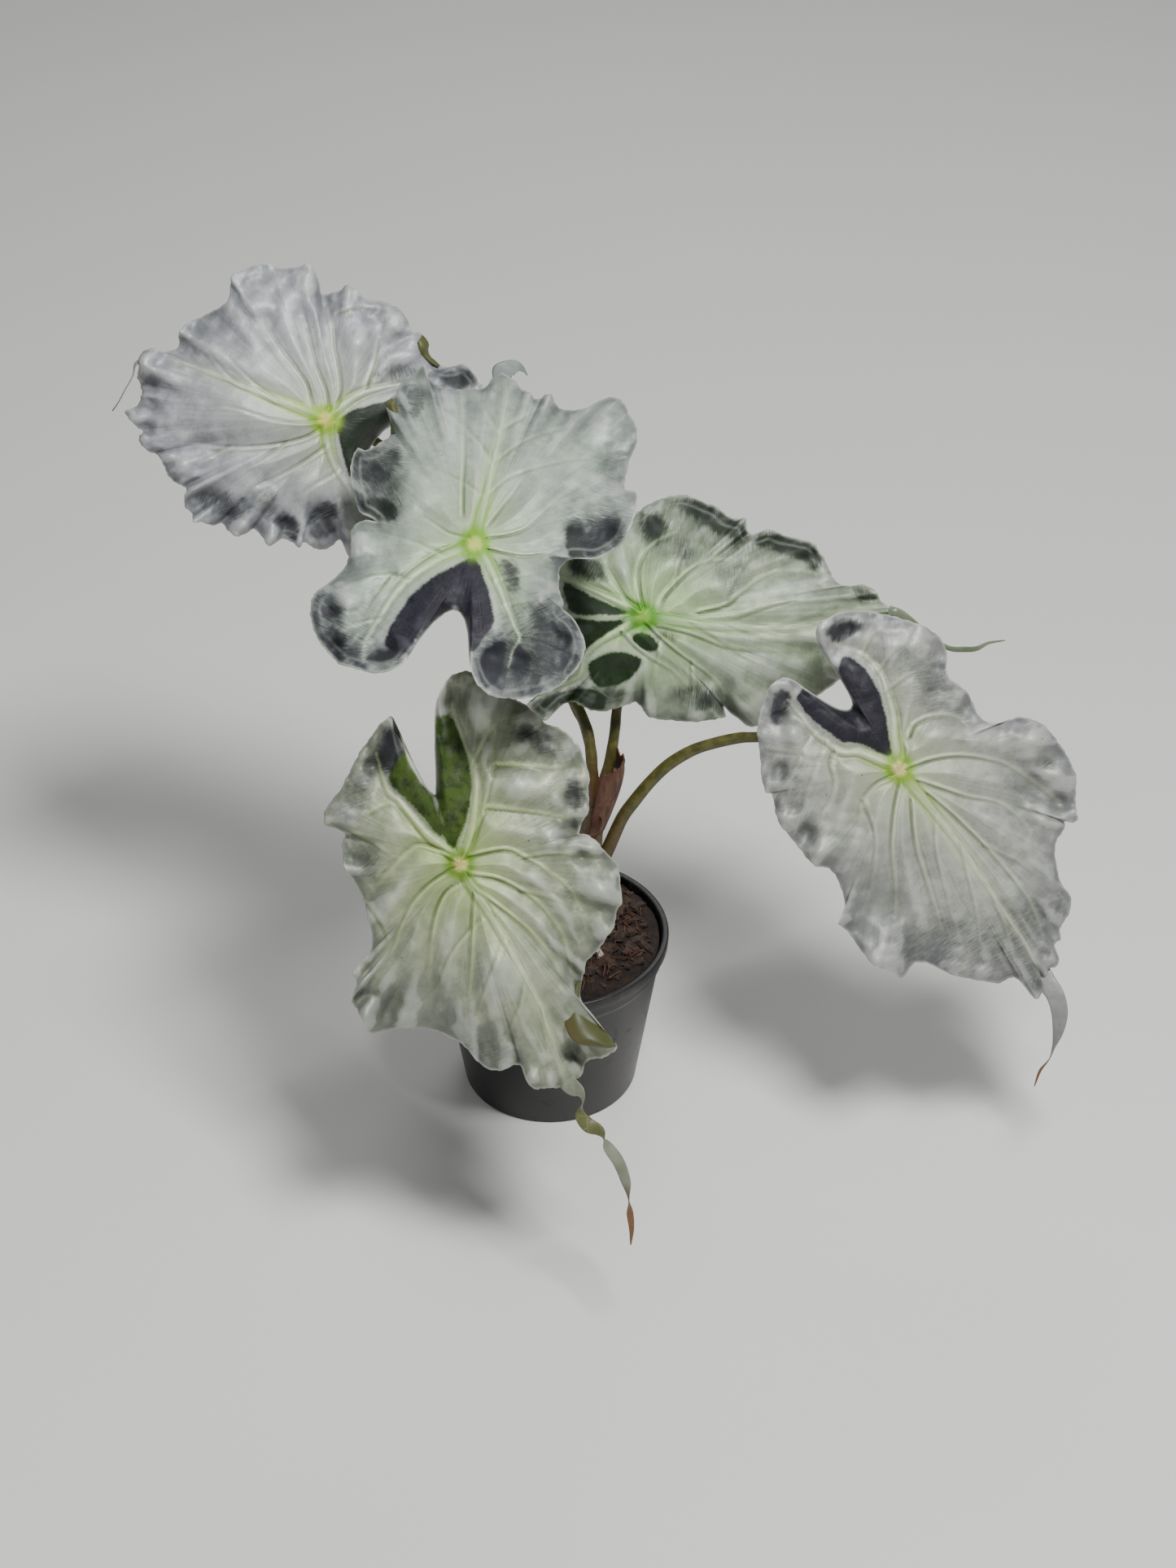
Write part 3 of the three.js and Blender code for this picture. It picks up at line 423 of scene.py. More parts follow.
def soil_bed():
    """The bed: a plug down the pot's inside, with a rough top."""
    top_radius = NECK_RADIUS - BED_INSET - POT_NECK_DRAFT - SOIL_GAP
    turn = 2 * np.pi * np.arange(BED_SIDES) / BED_SIDES
    shares = np.linspace(0, 1, BED_RINGS + 1)[1:, None]
    x = top_radius * shares * np.cos(turn)
    y = top_radius * shares * np.sin(turn)
    rough = 0.9 * wander(x, y, 6, 41) + 0.6 * wander(x, y, 2.6, 42) + 0.4 * wander(x, y, 1.5, 43)
    z = soil_height(x, y) + rough * np.minimum(1, 6 * (1 - shares) + 0.2) - 1.5 * shares**20
    down = (
        (top_radius, SHOULDER_HEIGHT + 3.5),
        (BED_SHOULDER_RADIUS - SOIL_GAP, SHOULDER_HEIGHT),
        (BED_FOOT_RADIUS - 2 * SOIL_GAP, BED_FOOT),
    )
    rows = [np.stack((x, y, z), -1)]
    for radius, height in down:
        rows.append(np.stack((radius * np.cos(turn), radius * np.sin(turn), 0 * turn + height), -1)[None])
    middle, foot = [[0, 0, soil_height(0, 0)]], [[0, 0, BED_FOOT]]
    cloud = np.vstack((middle, np.concatenate(rows).reshape(-1, 3), foot))
    count = BED_RINGS + len(down)
    faces = grid_faces(count, BED_SIDES, 0)
    last = 1 + (count - 1) * BED_SIDES
    faces += [(len(cloud) - 1, last + k, last + (k + 1) % BED_SIDES) for k in range(BED_SIDES)]
    return part_of(cloud * MM, faces)


def chip_shell():
    """The 26 outer points of a 3 by 3 by 3 grid with pulled-in corners, and the quads over them."""
    steps = np.array([-1.0, 0.0, 1.0])
    grid = np.array([(a, b, c) for a in steps for b in steps for c in steps])
    shell = [k for k, p in enumerate(grid) if np.abs(p).max() == 1]
    where = {k: n for n, k in enumerate(shell)}
    points = grid[shell] * (1 - 0.16 * (np.abs(grid[shell]).sum(1, keepdims=True) - 1) / 2)
    faces = []
    for axis in range(3):
        for side in (0, 2):
            for i in range(2):
                for j in range(2):
                    corners = []
                    for di, dj in ((0, 0), (1, 0), (1, 1), (0, 1)):
                        cell = [0, 0, 0]
                        cell[axis] = side
                        cell[(axis + 1) % 3] = i + di
                        cell[(axis + 2) % 3] = j + dj
                        corners.append(where[cell[0] * 9 + cell[1] * 3 + cell[2]])
                    faces.append(tuple(corners if side == 2 else corners[::-1]))
    return points, faces


CHIP_POINTS, CHIP_FACES = chip_shell()


def chip(random, centre, size, turn, tilt):
    """Points of a rough chip: the shell with every point knocked about, tilted, then turned."""
    shape = CHIP_POINTS + random.uniform(-0.16, 0.16, CHIP_POINTS.shape)
    shape = shape * np.asarray(size) / 2
    ct, st, cz, sz = np.cos(tilt), np.sin(tilt), np.cos(turn), np.sin(turn)
    shape = shape @ np.array([[ct, 0, -st], [0, 1, 0], [st, 0, ct]])
    shape = shape @ np.array([[cz, sz, 0], [-sz, cz, 0], [0, 0, 1]])
    return (shape + centre) * MM


def soil_spot(random, reach):
    """A seeded spot on the bed, clear of the crown's foot."""
    while True:
        turn, out = 2 * np.pi * random.random(), reach * np.sqrt(random.random())
        x, y = out * np.cos(turn), out * np.sin(turn)
        if np.hypot(x - CROWN_FOOT[0], y - CROWN_FOOT[1]) > CROWN_CLEAR:
            return x, y


def make_substrate(materials):
    """The bed with its chips and fibres in one piece; materials: bed, bark, fibre, pale."""
    random = np.random.default_rng(SOIL_SEED)
    parts = [soil_bed()]
    for _ in range(CHIP_COUNT):
        x, y = soil_spot(random, CHIP_REACH)
        big = random.random() ** 3
        size = (2.6 + 8 * big, 1.6 + 4 * big, 0.8 + 1.4 * big) * random.uniform(0.8, 1.2, 3)
        centre = (x, y, soil_height(x, y) + 0.3 * size[2])
        turn, tilt = random.uniform(0, np.pi), random.uniform(-0.5, 0.5)
        points = chip(random, centre, size, turn, tilt)
        kind = 3 if random.random() < PALE_SHARE else 1
        parts.append(part_of(points, CHIP_FACES, kind))
    for _ in range(FIBRE_COUNT):
        x, y = soil_spot(random, FIBRE_REACH)
        turn, length = random.uniform(0, 2 * np.pi), random.uniform(5, 17)
        bend = random.uniform(-0.14, 0.14)
        steps = np.linspace(0, 1, FIBRE_STEPS)
        heading = turn + bend * length * steps
        px = x + np.cumsum(np.cos(heading)) * length / FIBRE_STEPS
        py = y + np.cumsum(np.sin(heading)) * length / FIBRE_STEPS
        off_crown = np.hypot(px - CROWN_FOOT[0], py - CROWN_FOOT[1]).min() > CROWN_CLEAR
        if np.hypot(px, py).max() >= FIBRE_LIMIT or not off_crown:
            continue
        lift = random.uniform(0.4, 2.6) * np.sin(np.pi * steps) + random.uniform(0.2, 1.0)
        path = np.stack((px, py, soil_height(px, py) + lift), 1) * MM
        parts.append(tube(path, random.uniform(0.12, 0.32) * MM, 5, index=2))
    return finish_piece("coir_and_bark", parts, materials, ("substrate",), flat=(1, 3))


make_substrate((
    soil_material("coir_bed", "#17100c", "#33221a", 260),
    soil_material("bark_chips", "#1e1511", "#4a382c", 210),
    soil_material("coir_fibre", "#43291c", "#7d543a", 300),
    soil_material("pale_bits", "#8f8a7c", "#c9c4b4", 260),
))


# Crown
# The short stem stands in the bed. It is made of old, clasping leaf bases, brown and corky, as
# elliptic rings between stations from foot to top: ((centre), (half widths)).

CROWN = (
    ((12, 12, 73), (8, 8)),
    ((12, 12, 86), (11, 11)),
    ((13, 12, 98), (10, 11)),
    ((16, 12, 115), (8, 10)),
    ((19.5, 12, 132), (6.4, 10)),
    ((22, 12, 148), (5.4, 11.2)),
    ((23.5, 12, 161), (5.2, 12)),
)
CROWN_ROWS = 90
CROWN_SIDES = 64
CROWN_DOME = 1.5


def crown_material():
    """Corky skin of old leaf bases: brown scales of 8 mm and paler flecks of 2.4 mm, olive near the
    top."""
    material, shade, place, add = new_material("crown_skin")
    scales = add("noise", place, 130, 6, 0.7, 0.6)
    base = add("mix", add("ramp", scales, 0.36, 0.66), "#3d2a1c", "#7d5f42")
    base = add("mix", add("attribute", attribute_name="top"), base, "#6b5a36")
    base = add("mix", add("ramp", add("noise", place, 420, 3, 0.55), 0.6, 0.72, 0.0, 0.6), base, "#a37a5b")
    shade({"Base Color": base, "Roughness": 0.72, "Normal": add("bump", scales, 0.8, 0.0012)})
    return material


def curve_through(points, count, ends=True):
    """count points on a Catmull-Rom curve through the given ones, evenly spaced by knot."""
    points = np.asarray(points, float)
    if ends:
        padded = np.vstack((2 * points[0] - points[1], points, 2 * points[-1] - points[-2]))
        spans = len(points) - 1
        where = np.linspace(0, spans, count)
    else:
        padded = np.vstack((points[-1:], points, points[:2]))
        spans = len(points)
        where = np.arange(count) * spans / count
    k = np.minimum(where.astype(int), spans - 1)
    s = (where - k)[:, None]
    a, b, c, d = (padded[k + i] for i in range(4))
    return 0.5 * (2 * b + (c - a) * s + (2 * a - 5 * b + 4 * c - d) * s**2 + (3 * b - a - 3 * c + d) * s**3)


def elliptic_rows(stations, rows):
    """Centres (rows, 3) and half widths (rows, 2) through the stations, in millimetres."""
    centres = curve_through([at for at, _ in stations], rows)
    halves = curve_through([half for _, half in stations], rows)
    return centres, halves


def make_crown(material):
    """The crown: elliptic rings with clasping ribs and leaf scars, closed by low domes."""
    centres, halves = elliptic_rows(CROWN, CROWN_ROWS)
    turn = 2 * np.pi * np.arange(CROWN_SIDES) / CROWN_SIDES
    run = np.linspace(0, 1, CROWN_ROWS)[:, None]
    clasp = 0.05 * np.sin(2 * turn + 5 * run) + 0.035 * np.cos(5 * turn - 9 * run)
    scars = 0.03 * np.sin(40 * run + 1.5 * np.sin(turn)) * (1 - run)
    swell = 1 + clasp + scars
    x = centres[:, :1] + halves[:, :1] * swell * np.cos(turn)
    y = centres[:, 1:2] + halves[:, 1:] * swell * np.sin(turn)
    z = centres[:, 2:] + 0.6 * np.sin(3 * turn) * run
    ring = np.stack((x, y, z), -1).reshape(-1, 3)
    ends = np.vstack((centres[:1] - (0, 0, CROWN_DOME), centres[-1:] + (0, 0, CROWN_DOME)))
    top = np.concatenate((np.repeat(run[:, 0] ** 2, CROWN_SIDES), (0, 1)))
    body = part_of(np.vstack((ring, ends)) * MM, tube_faces(CROWN_ROWS, CROWN_SIDES), top=top)
    return finish_piece("crown_stem", [body], (material,), ("crown",))


make_crown(crown_material())


# Papery sheath
# A dry leaf sheath wraps the top of the crown where the stalks part. It is an open wrap of thin,
# crumpled skin with a torn top and rolled sides, and a curled remnant below it.

SHEATH = (
    ((22.1, 12, 149), (5.4, 11.2)),
    ((24.6, 12, 163), (7.6, 12.4)),
    ((27.2, 11, 178), (8.6, 13)),
    ((28.6, 10, 189), (7.4, 11)),
)
SHEATH_TURN = (-1.9, 1.15)
SHEATH_THICKNESS = 0.7
SHEATH_GAP = 0.4
SHEATH_ROWS = 40
SHEATH_STEPS = 60
CURL_PATH = (
    (726, 1010, 41), (732, 1002, 42), (739, 1006, 43), (740, 1016, 43), (734, 1025, 42),
    (724, 1029, 42), (716, 1028, 43), (714, 1022, 44),
)
CURL_ROWS = 50
CURL_THICKNESS = 0.35


def sheath_material():
    """Dry papery skin: pinkish tan, with fibres 2.4 mm apart and 22 mm long, pale blotches of 3 mm
    and browner, torn edges."""
    material, shade, place, add = new_material("papery_sheath")
    stretched = add("stretch", place, (420.0, 420.0, 45.0))
    fibres = add("noise", stretched, 1.0, 4, 0.6)
    base = add("mix", add("ramp", fibres, 0.32, 0.68), "#40281c", "#6c4836")
    base = add("mix", add("attribute", attribute_name="torn"), base, "#4d2c1e")
    base = add("mix", add("ramp", add("noise", place, 300, 3, 0.55), 0.58, 0.7, 0.0, 0.5), base, "#8a654f")
    shade({"Base Color": base, "Roughness": 0.66, "Normal": add("bump", fibres, 0.7, 0.0005)})
    return material


def shell_faces(rows, columns):
    """Faces of two layers of rows by columns, back to back and joined round their border."""
    size = rows * columns
    faces = []
    for i in range(rows - 1):
        for j in range(columns - 1):
            corner = i * columns + j
            quad = (corner, corner + 1, corner + columns + 1, corner + columns)
            faces += [quad, tuple(size + k for k in quad[::-1])]
    border = list(range(columns)) + [i * columns + columns - 1 for i in range(1, rows)]
    border += [size - columns + j for j in range(columns - 2, -1, -1)]
    border += [i * columns for i in range(rows - 2, 0, -1)]
    for here, following in zip(border, border[1:] + border[:1]):
        faces.append((here, size + here, size + following, following))
    return faces


def make_sheath(material):
    """The sheath: an open wrap with a torn top and rolled sides, and a curled remnant below."""
    centres, halves = elliptic_rows(SHEATH, SHEATH_ROWS)
    run = np.linspace(0, 1, SHEATH_ROWS)[:, None]
    share = np.linspace(0, 1, SHEATH_STEPS)
    turn = SHEATH_TURN[0] + (SHEATH_TURN[1] - SHEATH_TURN[0]) * share
    torn = 2.2 * wander(share * 60, share * 0, 9, 31) + 1.2 * wander(share * 60, share * 0, 3, 32)
    roll = 1.2 * (np.abs(share - 0.5) * 2) ** 8
    crumple = 0.35 * wander(share * 30 + 0 * run, run * 40 + 0 * share, 11, 33) * run
    z = centres[:, 2:] + torn * run**3 - 3.5 * run**3 * (share - 0.4) ** 2 * 4
    layers = []
    for side in (SHEATH_THICKNESS, 0.0):
        a = halves[:, :1] + SHEATH_GAP + side + crumple + roll
        b = halves[:, 1:] + SHEATH_GAP + side + crumple + roll
        layer = (centres[:, :1] + a * np.cos(turn), centres[:, 1:2] + b * np.sin(turn), z)
        layers.append(np.stack(layer, -1).reshape(-1, 3))
    edge = np.maximum(run**6 + 0 * share, (np.abs(share - 0.5) * 2) ** 10 + 0 * run).reshape(-1)
    wrap = part_of(np.concatenate(layers) * MM, shell_faces(SHEATH_ROWS, SHEATH_STEPS),
                   torn=np.concatenate((edge, edge)))
    places = curve_through(CURL_PATH, CURL_ROWS)
    along = np.linspace(0, 1, CURL_ROWS)
    curl = tube(seen(places[:, :2], places[:, 2]), (1.7 * np.sin(np.pi * along) ** 0.5 + 0.3) * MM, 10,
                flat=CURL_THICKNESS * MM, turn=2.5 * along, torn=along)
    return finish_piece("papery_sheath", [wrap, curl], (material,), ("sheath",))


make_sheath(sheath_material())


# Leaf stalks
# Fleshy, slightly ribbed stalks sheathe the crown in turn and end in the boss under each hub. A
# path runs from crown to hub in drawn points with depths, and radii are those of its ends in mm.

STALK_SIDES = 22
STALK_ROWS = 90
STALK_FLATNESS = 0.94
STALKS = {
    "a": {
        "path": [
            (731, 1015, 15), (727, 970, 25), (727, 930, 31), (723, 908, 33), (717, 887, 32),
            (706, 866, 30), (680, 800, 30), (640, 730, 34), (580, 660, 45), (520, 590, 58),
            (450, 535, 76), (410, 518, 89), (400, 516, 95),
        ],
        "radii": (2.9, 2.2),
    },
    "b": {
        "path": [
            (731, 1003, 32), (729, 965, 40), (727, 940, 43), (724, 908, 45), (718, 887, 45),
            (708, 866, 46), (692, 848, 50), (668, 822, 62), (645, 790, 82), (620, 735, 118),
            (592, 685, 150), (583, 668, 162),
        ],
        "radii": (2.9, 2.3),
    },
    "c": {
        "path": [
            (734, 1010, 24), (738, 975, 32), (748, 940, 37), (753, 915, 40), (756, 893, 42),
            (758, 872, 43), (765, 830, 50), (778, 790, 61), (787, 766, 70), (790, 757, 74),
        ],
        "radii": (2.9, 2.2),
    },
    "d": {
        "path": [
            (704, 1115, 1), (707, 1075, 21), (693, 1048, 48), (660, 1032, 86), (617, 1033, 127),
            (580, 1048, 150), (565, 1062, 157),
        ],
        "radii": (3.1, 2.3),
    },
    "e": {
        "path": [
            (714, 1110, -4), (728, 1080, 3), (747, 1043, 13), (764, 1006, 22), (779, 985, 28),
            (798, 962, 33), (821, 940, 38), (849, 923, 42), (875, 914, 46), (907, 907, 51),
            (930, 906, 54), (1000, 905, 60), (1060, 915, 68), (1095, 935, 77), (1105, 945, 81),
        ],
        "radii": (3.5, 2.3),
    },
}


def stalk_material():
    """Fleshy stalk skin: olive, with darker and glossier streaks of 4 mm and pale flecks 2.4 mm
    apart, browner towards its base and greener at the hub."""
    material, shade, place, add = new_material("stalk_skin")
    streaks = add("noise", place, 240, 4, 0.6)
    base = add("mix", add("ramp", streaks, 0.3, 0.7), "#434420", "#605e2e")
    base = add("mix", add("attribute", attribute_name="low"), base, "#553a25")
    flecks = add("cells", place, 420.0)
    base = add("mix", add("multiply", add("ramp", flecks, 0.1, 0.16, 1.0, 0.0), 0.12), base, "#9a955e")
    base = add("mix", add("attribute", attribute_name="top"), base, "#8f9a4a")
    shade({
        "Base Color": base,
        "Roughness": add("ramp", streaks, 0.3, 0.7, 0.36, 0.5),
        "Normal": add("bump", streaks, 0.4, 0.0003),
    })
    return material


def hill(distance, width):
    """exp(-(distance / width)²)."""
    return np.exp(-((distance / width) ** 2))


def make_stalk(letter, stalk, material):
    """A stalk: a slightly ribbed tube that narrows upwards and flares where it meets the hub."""
    places = curve_through(stalk["path"], STALK_ROWS)
    run = np.linspace(0, 1, STALK_ROWS)
    places[:, 2] -= 2.2 * hill(1 - run, 0.12)
    centres = seen(places[:, :2], places[:, 2])
    low, high = stalk["radii"]
    flare = 1 + 0.3 * hill(1 - run, 0.03) + 0.1 * hill(run, 0.12)
    radii = (low + (high - low) * run) * flare * (1 + 0.02 * np.sin(37 * run + low))
    skin = tube(centres, radii * MM, STALK_SIDES, flat=radii * STALK_FLATNESS * MM,
                low=hill(run, 0.2), top=hill(1 - run, 0.05))
    return finish_piece("stalk_" + letter, [skin], (material,), ("petiole_" + letter,))


stalk_skin = stalk_material()
for letter, stalk in STALKS.items():
    make_stalk(letter, stalk, stalk_skin)


# Leaves
# Each leaf is one growth: a thin blade, its drip tip and its folded edges. A blade is a grid of
# columns from hub to margin by rings: a bent sheet that is raised along and between its veins and
# ruffled at its margin, with an under face behind it, thicker along the ribs and under the hub.

COLUMNS_PER_KNOT = 5
RING_COUNT = 66
BLADE_THICKNESS = 0.75
RIB_THICKNESS = 1.3
BOSS_THICKNESS = 3.4
BOSS_RADIUS = 5.5
PANEL_RISE = 3.2
PANEL_WIDTH = 6.5
LARGE_UNREST = 0.9
SMALL_UNREST = 0.55
RUFFLE_GAIN = 0.7
RUFFLE_SPAN = 5
RUFFLE_ONSET = 5
RIM_ROLL = 2.0
FOLD_WAVES = (23, 31, 37, 46, 53)
FOLD_HEIGHT = 0.8
DUSK_HOLLOW = 0.5
WINDOW_SPREAD = 3.5
WEDGE_LENGTH = 26
WEDGE_WIDTH = 3.4
HUB_SPOT = 7.4
HEART_REACH = 32
OUTER_BAND = 11
SECOND_LINE = 4.4
DRIP_SIDES = 12
DRIP_THICKNESS = 0.56
FLAP_THICKNESS = 0.7
FLAP_ROWS = 24
FLAP_STEPS = 12
LEAF_SEED = 100

# margin runs clockwise from the tip. slope is the depth gained per mm to the right and upwards,
# and bend the fall by the square of the distance across and up. A ripple is (first knot, last
# knot, waves, height), and crimp the height of the fine folds at the rim. The first three veins
# are the midrib and the two basal ribs. A window is (strength, green, outline) where the silver
# is missing, with a combed edge. Dusk is (strength, softness in mm, green, outline): dark slate
# where the silver thins out, and in the broad, soft patches painted shade where the leaf bends
# away from the light. A form is (x, y, size in pixels, height in mm), a swelling or a hollow,
# with painted shade in its hollow and a painted highlight on its swelling. The drip tip has its
# path, widths and twist, and the share of it that is still fresh, before the withered end. A
# fold is (fold line, free edge, lift in mm).

# Leaf A, at the upper left.

LEAF_A = {
    "hub": (400, 516), "depth": 98, "slope": (-0.16, 0.05), "bend": (0.002, 0.0025), "crimp": 0.7,
    "ripples": [[55, 76, 5, 4], [3, 20, 3, 2.5], [82, 98, 4, 3]],
    "margin": [
        (170, 441), (178, 430), (191, 428), (202, 432), (220, 426), (219, 411), (226, 400), (246, 390),
        (263, 381), (279, 371), (283, 351), (285, 338), (302, 330), (323, 324), (345, 329), (366, 328),
        (378, 324), (387, 334), (393, 350), (395, 361), (404, 361), (417, 357), (427, 350), (437, 354),
        (448, 367), (469, 370), (485, 376), (497, 387), (506, 404), (519, 411), (527, 422), (527, 434),
        (541, 449), (556, 450), (571, 447), (583, 458), (592, 475), (580, 490), (550, 497), (515, 505),
        (485, 520), (468, 534), (455, 552), (452, 580), (458, 615), (462, 650), (452, 680), (431, 686),
        (418, 664), (408, 671), (393, 676), (383, 672), (374, 666), (368, 673), (357, 665), (345, 663),
        (331, 671), (323, 662), (313, 650), (302, 656), (291, 659), (280, 652), (272, 643), (262, 646),
        (248, 642), (237, 641), (236, 632), (228, 623), (226, 611), (229, 600), (221, 596), (211, 590),
        (204, 579), (199, 568), (193, 558), (184, 556), (175, 548), (170, 538), (176, 530), (167, 524),
        (158, 514), (154, 505), (168, 499), (173, 489), (174, 481), (172, 471), (168, 462), (171, 451),
    ],
    "veins": [
        [(400, 516), (375, 505), (340, 492), (300, 475), (250, 455), (205, 440)],
        [(400, 516), (430, 492), (455, 480), (490, 472), (520, 462)],
        [(400, 516), (402, 545), (412, 575), (428, 600), (438, 620)],
        [(403, 503), (400, 480), (390, 455), (383, 430), (377, 405), (373, 390)],
        [(412, 500), (418, 480), (416, 455), (411, 430), (408, 400), (400, 368)],
        [(450, 475), (460, 450), (465, 425), (467, 400), (462, 390)],
        [(383, 497), (375, 470), (351, 437), (335, 415), (325, 395)],
        [(395, 528), (370, 540), (330, 548), (280, 550), (240, 545)],
        [(400, 550), (370, 570), (340, 587), (310, 600)],
    ],
    "creases": [
        [(400, 516), (370, 520), (330, 515), (280, 500), (230, 500)],
        [(340, 492), (320, 478), (295, 455), (270, 430)], [(300, 475), (280, 462), (255, 432)],
        [(350, 545), (320, 565), (285, 585)], [(415, 580), (390, 595), (365, 610)],
        [(415, 385), (440, 378), (470, 382), (490, 385)], [(280, 550), (250, 565), (235, 580)],
    ],
    "windows": [
        (0.95, 0.6, [(414, 522), (432, 505), (458, 497), (488, 490), (512, 488), (505, 505), (485, 520),
            (466, 540), (452, 575), (440, 590), (428, 582), (420, 552)]),
    ],
    "dusk": [
        (0.63, 1.8, 0.2, [(238, 610), (262, 604), (290, 608), (310, 618), (304, 634), (280, 638),
            (250, 628)]),
        (0.57, 1.8, 0.2, [(320, 606), (334, 602), (344, 616), (340, 636), (326, 640), (318, 624)]),
        (0.8, 1.8, 0.2, [(338, 640), (354, 632), (370, 644), (366, 662), (350, 660)]),
        (0.8, 1.8, 0.3, [(376, 640), (390, 620), (406, 614), (418, 630), (414, 654), (398, 662),
            (384, 664)]),
        (0.57, 1.8, 0.2, [(456, 462), (472, 452), (496, 448), (512, 454), (506, 467), (478, 471)]),
        (0.57, 1.8, 0.1, [(174, 456), (186, 455), (196, 465), (190, 476), (176, 472)]),
        (0.46, 2.5, 0.1, [(196, 568), (210, 575), (222, 592), (214, 594), (202, 582)]),
        (0.86, 1.8, 0.5, [(530, 452), (556, 455), (576, 456), (588, 474), (560, 480), (540, 470)]),
    ],
    "forms": [
        (330, 345, 24, -2), (300, 356, 14, -3), (243, 402, 20, -4.5), (228, 422, 12, -3),
        (178, 498, 20, -3), (186, 470, 9, -3), (180, 440, 11, 3), (262, 622, 26, -6), (325, 614, 12, 5.5),
        (347, 642, 13, -5), (392, 634, 17, -5.5), (415, 625, 8, 3), (310, 597, 14, 3), (375, 598, 18, 2),
        (300, 480, 60, 4), (484, 398, 16, 2), (492, 420, 13, -2.5), (440, 420, 15, 2.5),
        (182, 524, 9, -3), (225, 580, 15, 3), (486, 456, 10, -3), (560, 462, 18, -5), (455, 640, 12, -3),
    ],
    "folds": [
        ([(519, 411), (527, 422), (527, 434), (541, 449)],
         [(511, 424), (515, 434), (521, 441), (536, 452)], 2.5),
    ],
    "drip": {
        "withered": 0.75,
        "path": [
            (180, 444, 0), (167, 447, -1), (163, 462, -3), (153, 480, -5), (145, 495, -7), (138, 505, -8),
        ],
        "widths": [3.4, 2.4, 1.6, 1.2, 1.0, 0.6],
        "twist": [0, 0.4, 0.8, 1, 1.2, 1.4],
    },
}

# Leaf B, in the middle, facing the camera.

